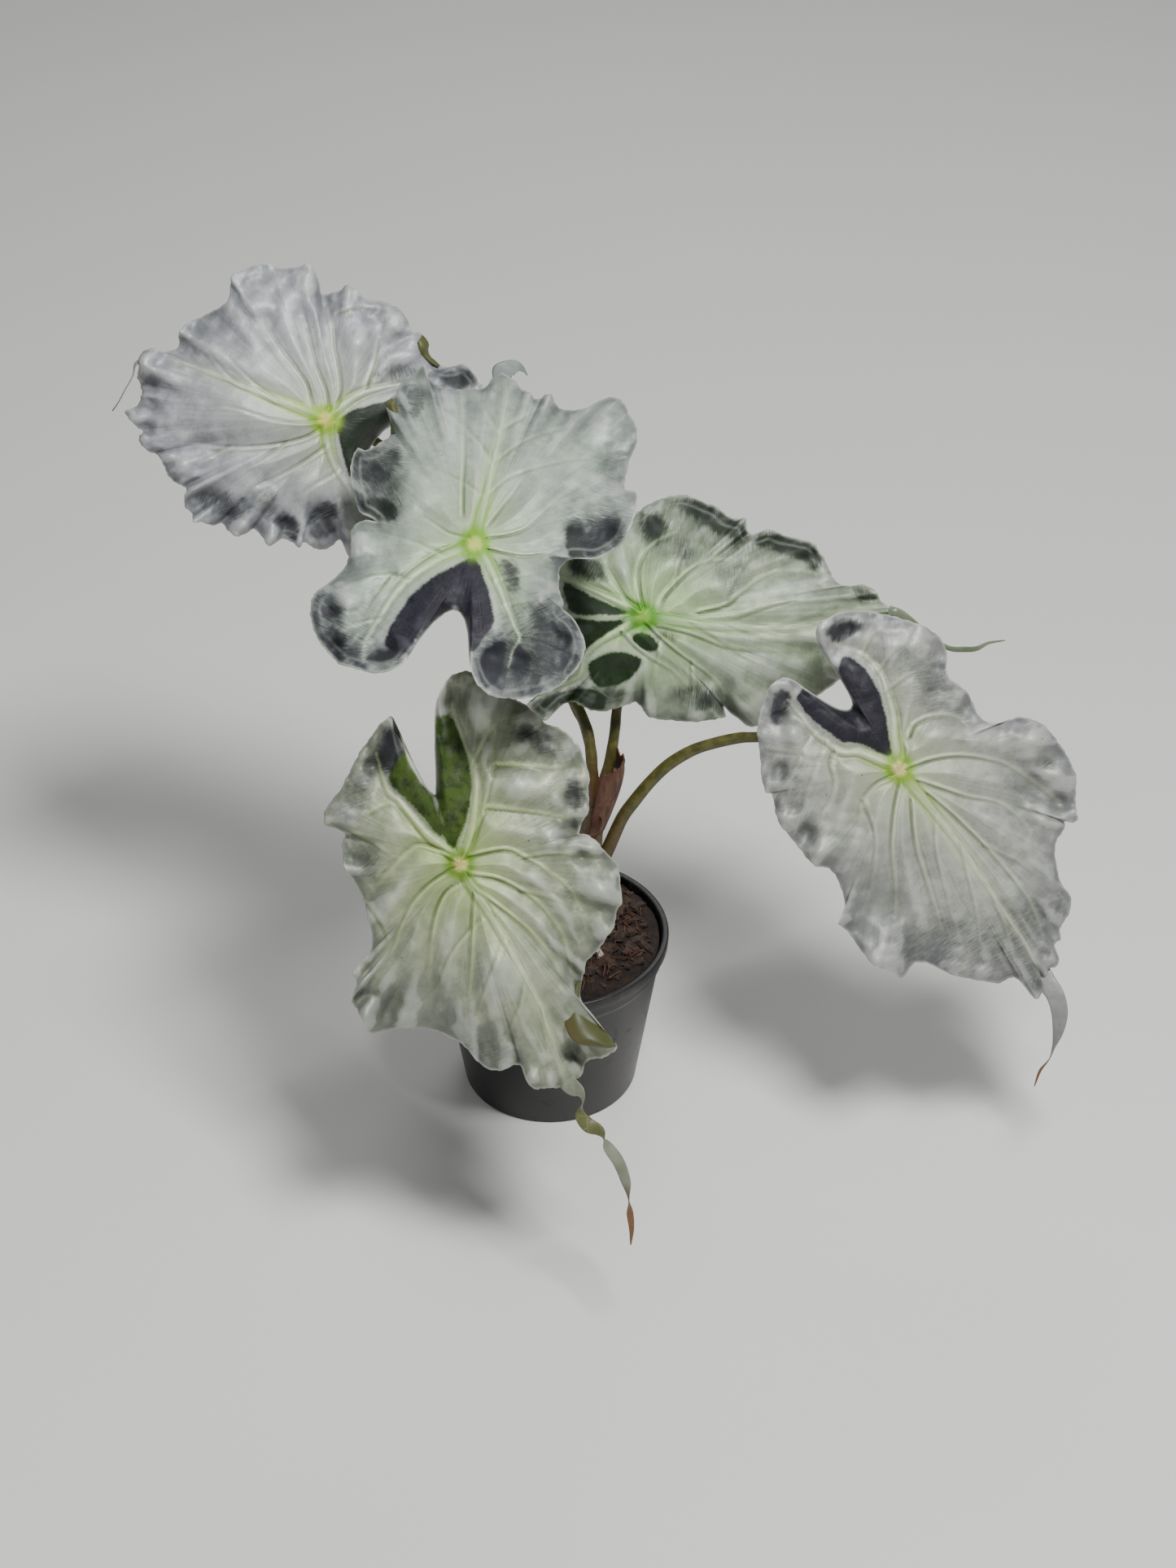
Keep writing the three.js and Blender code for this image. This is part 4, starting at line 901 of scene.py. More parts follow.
LEAF_B = {
    "hub": (583, 668), "depth": 165, "slope": (0, -0.65), "bend": (0.0018, 0.0025), "crimp": 0.6,
    "ripples": [[2, 14, 3, 3], [20, 36, 3, 4], [52, 64, 2, 3], [76, 96, 4, 4]],
    "margin": [
        (617, 458), (632, 468), (641, 478), (650, 482), (656, 489), (664, 490), (670, 485), (678, 485),
        (682, 496), (692, 503), (707, 504), (721, 501), (736, 493), (752, 488), (762, 491), (769, 500),
        (774, 511), (781, 523), (783, 536), (781, 548), (775, 562), (771, 576), (768, 592), (769, 602),
        (781, 605), (782, 620), (779, 636), (774, 650), (766, 665), (755, 675), (741, 683), (728, 687),
        (712, 687), (700, 688), (689, 698), (687, 712), (688, 727), (692, 739), (692, 749), (702, 757),
        (712, 772), (718, 786), (719, 797), (716, 809), (709, 821), (698, 834), (684, 845), (667, 853),
        (650, 857), (632, 859), (615, 857), (601, 853), (590, 844), (583, 834), (578, 820), (576, 804),
        (575, 787), (573, 771), (569, 759), (562, 751), (556, 750), (547, 754), (535, 763), (525, 774),
        (515, 787), (506, 801), (497, 813), (485, 821), (469, 826), (450, 825), (433, 820), (417, 815),
        (406, 805), (396, 793), (387, 779), (383, 764), (381, 750), (383, 736), (390, 726), (403, 717),
        (415, 707), (425, 694), (430, 680), (430, 666), (431, 653), (438, 643), (450, 639), (463, 641),
        (453, 634), (443, 630), (438, 621), (435, 607), (431, 592), (431, 576), (433, 562), (439, 551),
        (448, 553), (458, 550), (470, 542), (480, 534), (479, 515), (473, 496), (481, 489), (488, 483),
        (492, 471), (501, 465), (510, 459), (521, 449), (526, 462), (535, 472), (552, 478), (570, 479),
        (587, 478), (598, 475), (604, 466),
    ],
    "veins": [
        [(583, 668), (588, 645), (597, 610), (606, 570), (615, 530), (622, 490), (622, 468)],
        [(583, 668), (560, 677), (530, 690), (500, 712), (480, 735), (465, 760), (448, 790), (447, 815)],
        [(583, 668), (598, 690), (610, 715), (622, 745), (632, 770), (638, 785), (630, 800), (625, 820)],
        [(575, 662), (550, 655), (535, 645), (520, 635)],
        [(568, 632), (568, 600), (570, 560), (570, 520), (570, 480)],
        [(600, 660), (625, 657), (645, 650), (660, 638), (680, 620), (695, 607)],
        [(603, 675), (625, 680), (645, 683), (670, 680), (685, 675)],
        [(600, 645), (615, 625), (630, 605), (640, 590)], [(480, 710), (462, 735), (450, 755)],
    ],
    "creases": [
        [(606, 570), (590, 545), (560, 515), (535, 495)], [(615, 530), (600, 510), (590, 492)],
        [(606, 570), (640, 545), (680, 530), (720, 520)], [(615, 530), (645, 512), (675, 500)],
        [(597, 610), (630, 585), (680, 570), (740, 560), (765, 555)],
        [(597, 610), (565, 590), (530, 575), (500, 565)],
        [(545, 683), (520, 670), (490, 660), (465, 655)],
        [(500, 712), (470, 705), (435, 715), (400, 730)], [(465, 760), (440, 765), (415, 775)],
        [(622, 745), (650, 740), (680, 735)], [(634, 780), (660, 785), (695, 790)],
        [(610, 715), (640, 708), (670, 705)],
    ],
    "windows": [
        (0.85, 0.0, [(583, 684), (560, 694), (536, 706), (510, 726), (494, 746), (480, 768), (472, 790),
            (482, 800), (494, 802), (504, 790), (516, 774), (532, 758), (548, 746), (560, 742),
            (568, 750), (576, 776), (582, 798), (596, 782), (608, 766), (604, 740), (596, 712)]),
    ],
    "dusk": [
        (0.5, 7, 0.3, [(432, 552), (470, 545), (492, 560), (496, 600), (494, 640), (470, 650), (440, 632),
            (430, 596)]),
        (0.55, 7, 0.2, [(616, 752), (650, 738), (690, 748), (716, 780), (706, 820), (670, 850),
            (620, 856), (604, 826)]),
        (0.45, 6, 0.1, [(384, 740), (410, 726), (440, 750), (452, 790), (430, 818), (398, 806)]),
        (0.4, 7, 0.2, [(696, 610), (750, 590), (776, 600), (778, 640), (752, 676), (704, 690),
            (690, 650)]),
        (0.45, 4, 0.5, [(434, 556), (462, 552), (490, 545), (500, 575), (496, 610), (488, 640),
            (462, 640), (444, 628), (436, 600)]),
        (0.6, 2.5, 0.5, [(436, 560), (460, 556), (484, 548), (492, 562), (478, 582), (452, 592),
            (438, 588)]),
        (0.95, 1.2, 0.6, [(445, 620), (460, 612), (478, 616), (489, 627), (482, 638), (464, 636),
            (450, 630)]),
        (0.8, 2.4, 0.2, [(700, 652), (712, 648), (722, 648), (740, 638), (764, 638), (764, 654),
            (750, 668), (730, 684), (704, 686), (698, 668)]),
        (1.0, 1.0, 0.5, [(698, 650), (710, 647), (719, 662), (716, 684), (702, 684), (696, 668)]),
        (0.4, 4, 0.1, [(700, 640), (775, 632), (768, 662), (740, 684), (706, 688)]),
        (0.35, 3, 0.1, [(740, 560), (760, 556), (768, 575), (764, 600), (742, 596)]),
        (1.0, 0.9, 0.0, [(592, 806), (604, 794), (620, 790), (618, 815), (611, 835), (600, 845),
            (590, 832)]),
        (0.9, 1.2, 0.1, [(633, 792), (646, 797), (652, 812), (644, 832), (634, 838), (630, 815)]),
        (0.55, 3, 0.1, [(654, 790), (700, 786), (706, 808), (692, 832), (668, 820)]),
        (0.5, 1.5, 0.0, [(690, 764), (701, 760), (709, 774), (700, 786)]),
        (0.4, 3, 0.1, [(655, 752), (690, 745), (700, 757), (680, 780), (655, 778)]),
        (0.9, 0.9, 0.0, [(392, 750), (405, 745), (420, 751), (412, 759), (397, 759)]),
        (0.8, 1.5, 0.1, [(396, 778), (412, 772), (426, 782), (420, 796), (404, 795)]),
        (0.7, 1.5, 0.1, [(404, 800), (416, 796), (424, 806), (418, 815), (408, 812)]),
        (0.9, 1.1, 0.1, [(425, 800), (432, 794), (440, 806), (446, 822), (432, 818)]),
        (0.95, 1.1, 0.1, [(451, 806), (468, 798), (491, 797), (495, 806), (478, 813), (458, 815)]),
        (0.35, 3, 0.1, [(446, 740), (470, 735), (480, 745), (458, 785), (444, 785)]),
        (0.5, 2.5, 0.0, [(384, 740), (392, 730), (398, 745), (392, 770), (400, 800), (390, 785)]),
        (0.65, 1.3, 0.5, [(494, 474), (508, 470), (520, 482), (522, 500), (512, 505), (500, 494)]),
        (0.6, 1.5, 0.8, [(474, 494), (488, 488), (498, 500), (516, 506), (510, 515), (492, 512)]),
        (0.8, 1.6, 0.1, [(614, 690), (628, 688), (638, 705), (638, 728), (626, 726), (618, 708)]),
        (0.4, 1.8, 0.1, [(656, 730), (672, 728), (682, 740), (672, 752), (658, 748)]),
        (0.6, 1.0, 0.7, [(700, 752), (712, 756), (716, 772), (704, 770)]),
        (0.3, 3.0, 0.1, [(742, 505), (760, 502), (768, 520), (756, 530), (742, 522)]),
        (0.5, 4, 0.1, [(575, 792), (600, 772), (636, 780), (700, 756), (722, 790), (714, 828), (690, 850),
            (642, 862), (600, 856), (580, 832)]),
        (0.45, 4, 0.1, [(378, 752), (392, 724), (412, 734), (438, 790), (502, 792), (500, 822),
            (450, 832), (402, 812)]),
    ],
    "forms": [
        (452, 585, 34, -9), (470, 628, 15, -5), (441, 662, 12, 3.5), (516, 488, 13, -4),
        (742, 520, 26, 6), (750, 566, 19, -5), (766, 606, 18, 5), (738, 660, 25, -8), (706, 650, 13, -5),
        (700, 502, 28, -3), (664, 735, 13, 4), (656, 762, 11, -3), (692, 764, 12, 2.5),
        (690, 790, 11, -3.5), (640, 815, 17, -5), (604, 808, 20, -7), (702, 815, 13, -2.5),
        (665, 840, 9, 2.5), (424, 735, 17, 4.5), (404, 752, 10, -3.5), (421, 775, 11, 3.5),
        (410, 797, 13, -5), (470, 803, 16, -5), (446, 792, 7, 2), (560, 540, 42, 3), (520, 600, 28, 3),
        (660, 590, 42, 4), (628, 706, 9, -2),
    ],
    "folds": [
        ([(480, 534), (479, 515), (473, 496), (481, 489)],
         [(497, 530), (496, 518), (489, 503), (488, 494)], 3),
    ],
    "drip": {
        "withered": 0.95,
        "path": [
            (620, 486, -1), (619, 474, -4), (617, 463, -7), (619, 456, -9), (625, 452, -11),
            (635, 450, -12), (643, 454, -13), (648, 461, -15),
        ],
        "widths": [11, 9, 9, 11, 10.5, 8, 4, 0.8],
        "twist": [0, 0, 0.05, 0.1, 0.1, 0.1, 0.1, 0.1],
    },
}

# Leaf C, at the upper right, behind B and E.

LEAF_C = {
    "hub": (790, 757), "depth": 77, "slope": (-0.2, 0), "bend": (0.0008, 0.0075), "crimp": 1.1,
    "ripples": [[2, 14, 3, 3], [14, 34, 5, 3.5], [58, 86, 7, 3]],
    "margin": [
        (1102, 750), (1085, 770), (1065, 800), (1045, 825), (1022, 843), (1003, 856), (975, 875),
        (950, 888), (932, 893), (918, 892), (908, 884), (898, 877), (889, 868), (892, 880), (883, 883),
        (868, 886), (849, 887), (830, 886), (812, 884), (797, 881), (791, 874), (788, 869), (780, 863),
        (771, 866), (757, 871), (741, 874), (726, 873), (714, 867), (704, 863), (692, 866), (680, 877),
        (669, 886), (658, 877), (648, 866), (655, 858), (668, 846), (682, 838), (694, 826), (703, 812),
        (706, 795), (700, 775), (695, 757), (680, 738), (660, 728), (640, 712), (632, 692), (640, 674),
        (665, 656), (695, 650), (725, 645), (750, 638), (770, 632), (784, 629), (794, 621), (806, 616),
        (821, 610), (837, 608), (852, 611), (868, 618), (883, 624), (893, 633), (905, 638), (916, 636),
        (917, 645), (919, 652), (924, 657), (933, 654), (945, 650), (957, 655), (972, 660), (988, 664),
        (1000, 667), (1006, 677), (1015, 690), (1021, 705), (1028, 715), (1041, 720), (1057, 718),
        (1068, 721), (1078, 729), (1082, 737), (1092, 746),
    ],
    "veins": [
        [(790, 757), (850, 766), (900, 771), (950, 772), (1000, 767), (1060, 748), (1095, 746)],
        [(790, 757), (760, 740), (720, 722), (690, 710)],
        [(790, 757), (760, 775), (735, 790), (718, 805), (712, 830), (690, 842)],
        [(785, 750), (768, 735), (755, 715), (745, 700), (743, 685)],
        [(790, 750), (785, 725), (784, 700), (792, 680), (810, 665), (830, 655)],
        [(810, 750), (815, 735), (830, 718), (850, 700), (870, 690), (900, 687)],
        [(860, 752), (890, 745), (910, 730), (935, 712), (960, 703), (985, 702), (1005, 707)],
        [(795, 768), (812, 785), (830, 800), (850, 815), (870, 830), (885, 845), (888, 858)],
        [(765, 778), (780, 795), (800, 810), (825, 825), (845, 845)],
        [(810, 770), (850, 780), (890, 795), (930, 800), (990, 800)],
    ],
    "creases": [
        [(850, 766), (880, 785), (920, 812), (960, 830)], [(900, 771), (940, 785), (985, 795)],
        [(950, 772), (985, 780), (1010, 782)], [(905, 760), (940, 748), (975, 738), (1010, 730)],
        [(950, 772), (990, 760), (1030, 745)], [(830, 718), (836, 690), (850, 660), (862, 640)],
        [(890, 745), (900, 720), (918, 690), (935, 672)], [(812, 785), (806, 812), (800, 840)],
        [(850, 815), (850, 845), (846, 870)],
    ],
    "windows": [
        (0.92, 0.9, [(694, 716), (720, 729), (752, 744), (776, 753), (760, 756), (735, 756), (710, 755),
            (697, 740)]),
        (0.9, 0.9, [(704, 762), (735, 763), (770, 763), (757, 774), (735, 788), (716, 800), (706, 790)]),
        (0.92, 0.9, [(724, 816), (742, 804), (765, 801), (788, 810), (782, 826), (762, 841), (740, 845),
            (727, 836)]),
        (0.9, 0.9, [(774, 787), (786, 777), (799, 781), (810, 793), (803, 801), (786, 798)]),
        (0.85, 0.9, [(692, 858), (710, 847), (734, 849), (745, 860), (736, 869), (712, 864)]),
    ],
    "dusk": [
        (0.45, 7, 0.8, [(780, 640), (840, 618), (900, 640), (960, 668), (940, 700), (860, 684),
            (800, 690)]),
        (0.63, 1.8, 0.8, [(806, 777), (820, 773), (834, 782), (829, 791), (813, 788)]),
        (0.86, 1.8, 0.9, [(655, 866), (670, 854), (690, 848), (697, 857), (686, 868), (668, 880)]),
        (0.69, 1.8, 0.9, [(850, 617), (870, 624), (892, 637), (912, 645), (916, 660), (904, 666),
            (884, 654), (858, 640)]),
        (0.8, 1.8, 0.9, [(928, 662), (946, 656), (972, 664), (998, 671), (1004, 682), (984, 681),
            (955, 674)]),
        (0.57, 1.8, 0.7, [(788, 642), (802, 631), (814, 635), (812, 652), (800, 662)]),
        (0.63, 1.8, 0.7, [(697, 689), (715, 683), (730, 691), (726, 707), (710, 712)]),
        (0.69, 1.8, 0.8, [(1046, 722), (1062, 722), (1078, 733), (1070, 744), (1052, 738)]),
        (0.46, 2.5, 0.6, [(850, 842), (866, 836), (876, 850), (872, 868), (856, 866)]),
        (0.85, 2.5, 0.6, [(822, 618), (850, 614), (880, 624), (905, 640), (917, 652), (900, 660),
            (876, 648), (848, 634)]),
        (0.85, 2.2, 0.8, [(930, 664), (950, 657), (975, 664), (1000, 672), (1012, 690), (1000, 704),
            (985, 690), (960, 680)]),
        (0.6, 2.5, 0.5, [(829, 672), (850, 668), (856, 684), (840, 694)]),
        (0.45, 3, 0.5, [(875, 700), (912, 694), (918, 720), (890, 730)]),
        (0.8, 1.8, 0.7, [(695, 690), (716, 682), (740, 692), (748, 712), (722, 712)]),
        (0.6, 2.5, 0.5, [(827, 846), (860, 842), (884, 860), (880, 878), (848, 874)]),
        (0.7, 2, 0.9, [(686, 852), (720, 842), (770, 846), (768, 860), (720, 868), (690, 866)]),
        (0.75, 2, 0.6, [(783, 640), (800, 632), (816, 640), (812, 664), (796, 668)]),
    ],
    "forms": [
        (806, 650, 13, -3.5), (800, 625, 9, 2.5), (868, 640, 28, -5), (970, 668, 24, -4),
        (921, 655, 8, 3.5), (1010, 700, 12, 3.5), (1062, 731, 10, -3), (840, 692, 20, 3),
        (902, 722, 24, 3), (768, 704, 13, 2), (757, 826, 19, -3), (828, 864, 14, -3.5),
        (872, 850, 9, 3.5), (893, 872, 11, -5), (928, 872, 14, 3.5), (852, 882, 11, 2.5),
        (800, 872, 9, 2), (940, 812, 28, 3), (1004, 822, 15, -3.5), (980, 742, 40, 3), (705, 700, 14, -3),
    ],
    "folds": [],
    "drip": {
        "withered": 0.9,
        "path": [
            (1092, 750, 0), (1108, 755, -2), (1128, 770, -5), (1150, 788, -7), (1168, 797, -7),
            (1185, 798, -6), (1200, 797, -5), (1215, 790, -4), (1235, 787, -4),
        ],
        "widths": [5, 4, 3, 2.6, 2.8, 3.2, 3, 2, 0.5],
        "twist": [0, 0.2, 0.4, 0.5, 0.6, 0.7, 0.8, 0.9, 0.8],
    },
}

# Leaf D, at the lower left, before the pot.

LEAF_D = {
    "hub": (565, 1062), "depth": 160, "slope": (0.05, 0.05), "bend": (0.002, 0.0012), "crimp": 1.2,
    "ripples": [[6, 22, 4, 3], [24, 36, 3, 3.5], [60, 76, 4, 3], [76, 90, 3, 3]],
    "margin": [
        (697, 1336), (684, 1337), (672, 1337), (661, 1339), (652, 1335), (645, 1325), (641, 1311),
        (634, 1309), (617, 1315), (600, 1314), (586, 1304), (575, 1290), (564, 1281), (547, 1272),
        (530, 1266), (505, 1263), (481, 1265), (462, 1269), (451, 1268), (446, 1255), (439, 1242),
        (432, 1231), (435, 1219), (438, 1206), (433, 1196), (440, 1186), (449, 1178), (456, 1167),
        (457, 1147), (451, 1126), (448, 1109), (441, 1094), (432, 1079), (424, 1069), (421, 1053),
        (421, 1034), (424, 1026), (411, 1018), (399, 1015), (398, 1002), (405, 987), (418, 970),
        (427, 954), (436, 935), (443, 923), (453, 909), (463, 895), (474, 884), (483, 879), (490, 883),
        (494, 898), (498, 919), (504, 937), (512, 951), (522, 965), (534, 976), (535, 968), (535, 948),
        (534, 920), (534, 892), (535, 871), (539, 853), (549, 836), (561, 827), (575, 825), (595, 832),
        (615, 845), (632, 859), (642, 863), (656, 875), (670, 888), (687, 895), (701, 904), (711, 916),
        (718, 933), (724, 951), (723, 969), (724, 986), (722, 1000), (715, 1011), (711, 1024),
        (720, 1025), (731, 1032), (740, 1042), (750, 1053), (760, 1063), (762, 1081), (764, 1108),
        (758, 1120), (755, 1137), (747, 1151), (734, 1168), (722, 1180), (718, 1195), (715, 1205),
        (714, 1228), (730, 1249), (746, 1270), (758, 1285), (753, 1294), (740, 1300), (726, 1302),
        (718, 1310), (715, 1321), (705, 1329),
    ],
    "veins": [
        [(565, 1062), (580, 1090), (600, 1120), (620, 1155), (645, 1200), (665, 1240), (695, 1330)],
        [(565, 1062), (550, 1045), (525, 1027), (505, 1003), (490, 985), (475, 970), (462, 925)],
        [(565, 1062), (575, 1035), (583, 1000), (585, 970), (582, 940), (572, 915), (555, 865)],
        [(600, 993), (630, 996), (660, 1000), (700, 1008)],
        [(570, 1055), (600, 1047), (625, 1045), (645, 1055), (670, 1070), (700, 1095), (718, 1140)],
        [(575, 1075), (610, 1080), (640, 1095), (665, 1115), (690, 1150), (700, 1190)],
        [(585, 1095), (620, 1120), (650, 1145), (675, 1175), (690, 1200)],
        [(610, 940), (640, 942), (680, 945), (700, 940)],
        [(560, 1055), (540, 1045), (515, 1038), (500, 1045), (485, 1060), (455, 1095)],
        [(557, 1068), (530, 1085), (510, 1105), (495, 1130), (480, 1170)],
        [(568, 1085), (550, 1095), (538, 1115), (530, 1145), (527, 1180), (525, 1210)],
        [(582, 1100), (580, 1140), (578, 1180), (575, 1220)],
    ],
    "creases": [
        [(435, 1025), (455, 1035), (475, 1050), (485, 1055)],
        [(455, 1000), (475, 990), (490, 995), (500, 1010), (515, 1035)],
        [(572, 1055), (590, 1010), (597, 993), (603, 960), (607, 930), (610, 895), (620, 865)],
        [(582, 940), (600, 905), (620, 885), (650, 880)],
        [(645, 1200), (640, 1230), (625, 1265), (610, 1290)],
        [(620, 1155), (605, 1190), (590, 1230), (580, 1265)],
        [(600, 1120), (555, 1170), (535, 1215), (500, 1245)], [(665, 1240), (670, 1275), (675, 1310)],
        [(645, 1055), (680, 1050), (720, 1055), (745, 1075)], [(640, 1095), (690, 1110), (730, 1130)],
        [(450, 1110), (470, 1140), (480, 1170)],
    ],
    "windows": [
        (0.85, 0.95, [(540, 885), (552, 878), (562, 895), (572, 920), (579, 948), (580, 975), (574, 1005),
            (565, 1030), (556, 1045), (545, 1030), (536, 1012), (540, 976), (540, 940), (538, 905)]),
        (0.85, 0.95, [(478, 962), (494, 978), (508, 992), (524, 1010), (540, 1028), (546, 1018),
            (534, 990), (520, 968), (506, 950), (498, 930), (490, 925), (482, 940)]),
    ],
    "dusk": [
        (0.8, 1.8, 0.1, [(472, 900), (484, 892), (491, 905), (488, 930), (478, 950), (470, 935)]),
        (0.69, 1.8, 0.1, [(694, 962), (708, 956), (719, 966), (718, 985), (706, 998), (694, 988)]),
        (0.52, 2.5, 0.1, [(641, 893), (652, 889), (661, 900), (652, 911), (642, 906)]),
        (0.52, 2.5, 0.2, [(654, 908), (668, 902), (680, 912), (676, 927), (661, 928)]),
        (0.57, 1.8, 0.1, [(443, 1217), (456, 1213), (467, 1220), (456, 1227)]),
        (0.46, 2.5, 0.2, [(690, 1085), (704, 1080), (712, 1100), (704, 1116), (694, 1104)]),
        (0.4, 2.5, 0.2, [(404, 1002), (418, 996), (432, 1004), (424, 1014), (408, 1013)]),
        (0.57, 1.8, 0.6, [(705, 1205), (716, 1206), (716, 1224), (706, 1226)]),
        (0.75, 2, 0.1, [(478, 892), (490, 884), (497, 905), (500, 925), (492, 945), (470, 950),
            (452, 940), (462, 912)]),
        (0.5, 2.5, 0.1, [(425, 965), (440, 940), (455, 930), (458, 960), (450, 1000), (430, 1010),
            (415, 990)]),
        (0.45, 3, 0.2, [(424, 1036), (450, 1030), (478, 1052), (486, 1066), (462, 1078), (438, 1072)]),
        (0.4, 3, 0.1, [(624, 886), (650, 878), (690, 900), (712, 925), (700, 940), (660, 925),
            (630, 910)]),
        (0.35, 4, 0.2, [(560, 1275), (600, 1268), (650, 1300), (640, 1318), (600, 1314)]),
    ],
    "forms": [
        (500, 1252, 58, -11), (602, 1292, 38, -8), (440, 1062, 24, -6), (441, 1204, 15, 5),
        (462, 1222, 9, -3), (475, 1238, 14, -3), (426, 1000, 18, 5), (459, 942, 12, -4),
        (448, 962, 9, 3.5), (476, 906, 13, -3.5), (592, 868, 20, 4), (562, 856, 13, -2.5),
        (648, 900, 11, -3.5), (668, 916, 9, 2.5), (640, 962, 22, 3), (703, 980, 14, -5),
        (703, 1016, 7, -3.5), (680, 1030, 13, 3.5), (736, 1092, 19, 4.5), (714, 1052, 9, -3),
        (660, 1076, 15, 2.5), (742, 1150, 13, 2.5), (620, 1200, 40, 5), (540, 1150, 26, 2),
        (702, 1292, 13, -5), (655, 1326, 9, 3.5), (585, 905, 12, -2),
    ],
    "folds": [
        ([(715, 1205), (714, 1228), (730, 1249), (746, 1270), (758, 1285)],
         [(705, 1210), (704, 1234), (694, 1256), (707, 1281), (745, 1289)], 4),
    ],
    "drip": {
        "withered": 0.7,
        "path": [
            (694, 1322, 0), (700, 1333, 2), (712, 1342, 4), (716, 1354, 4), (712, 1368, 3),
            (722, 1382, 2), (736, 1390, 1), (746, 1408, 0), (760, 1428, -1), (769, 1452, -2),
            (772, 1470, -2), (774, 1490, -3), (776, 1510, -3), (775, 1530, -3),
        ],
        "widths": [9, 8.5, 7.5, 6.5, 7, 7, 5.5, 5.5, 5.5, 4.5, 2.5, 3.4, 2.4, 0.6],
        "twist": [0, 0.3, 0.9, 1.6, 2.3, 2.7, 3.4, 5.6, 6.1, 6.4, 7.4, 9, 9.4, 9.6],
    },
}

# Leaf E, at the right.

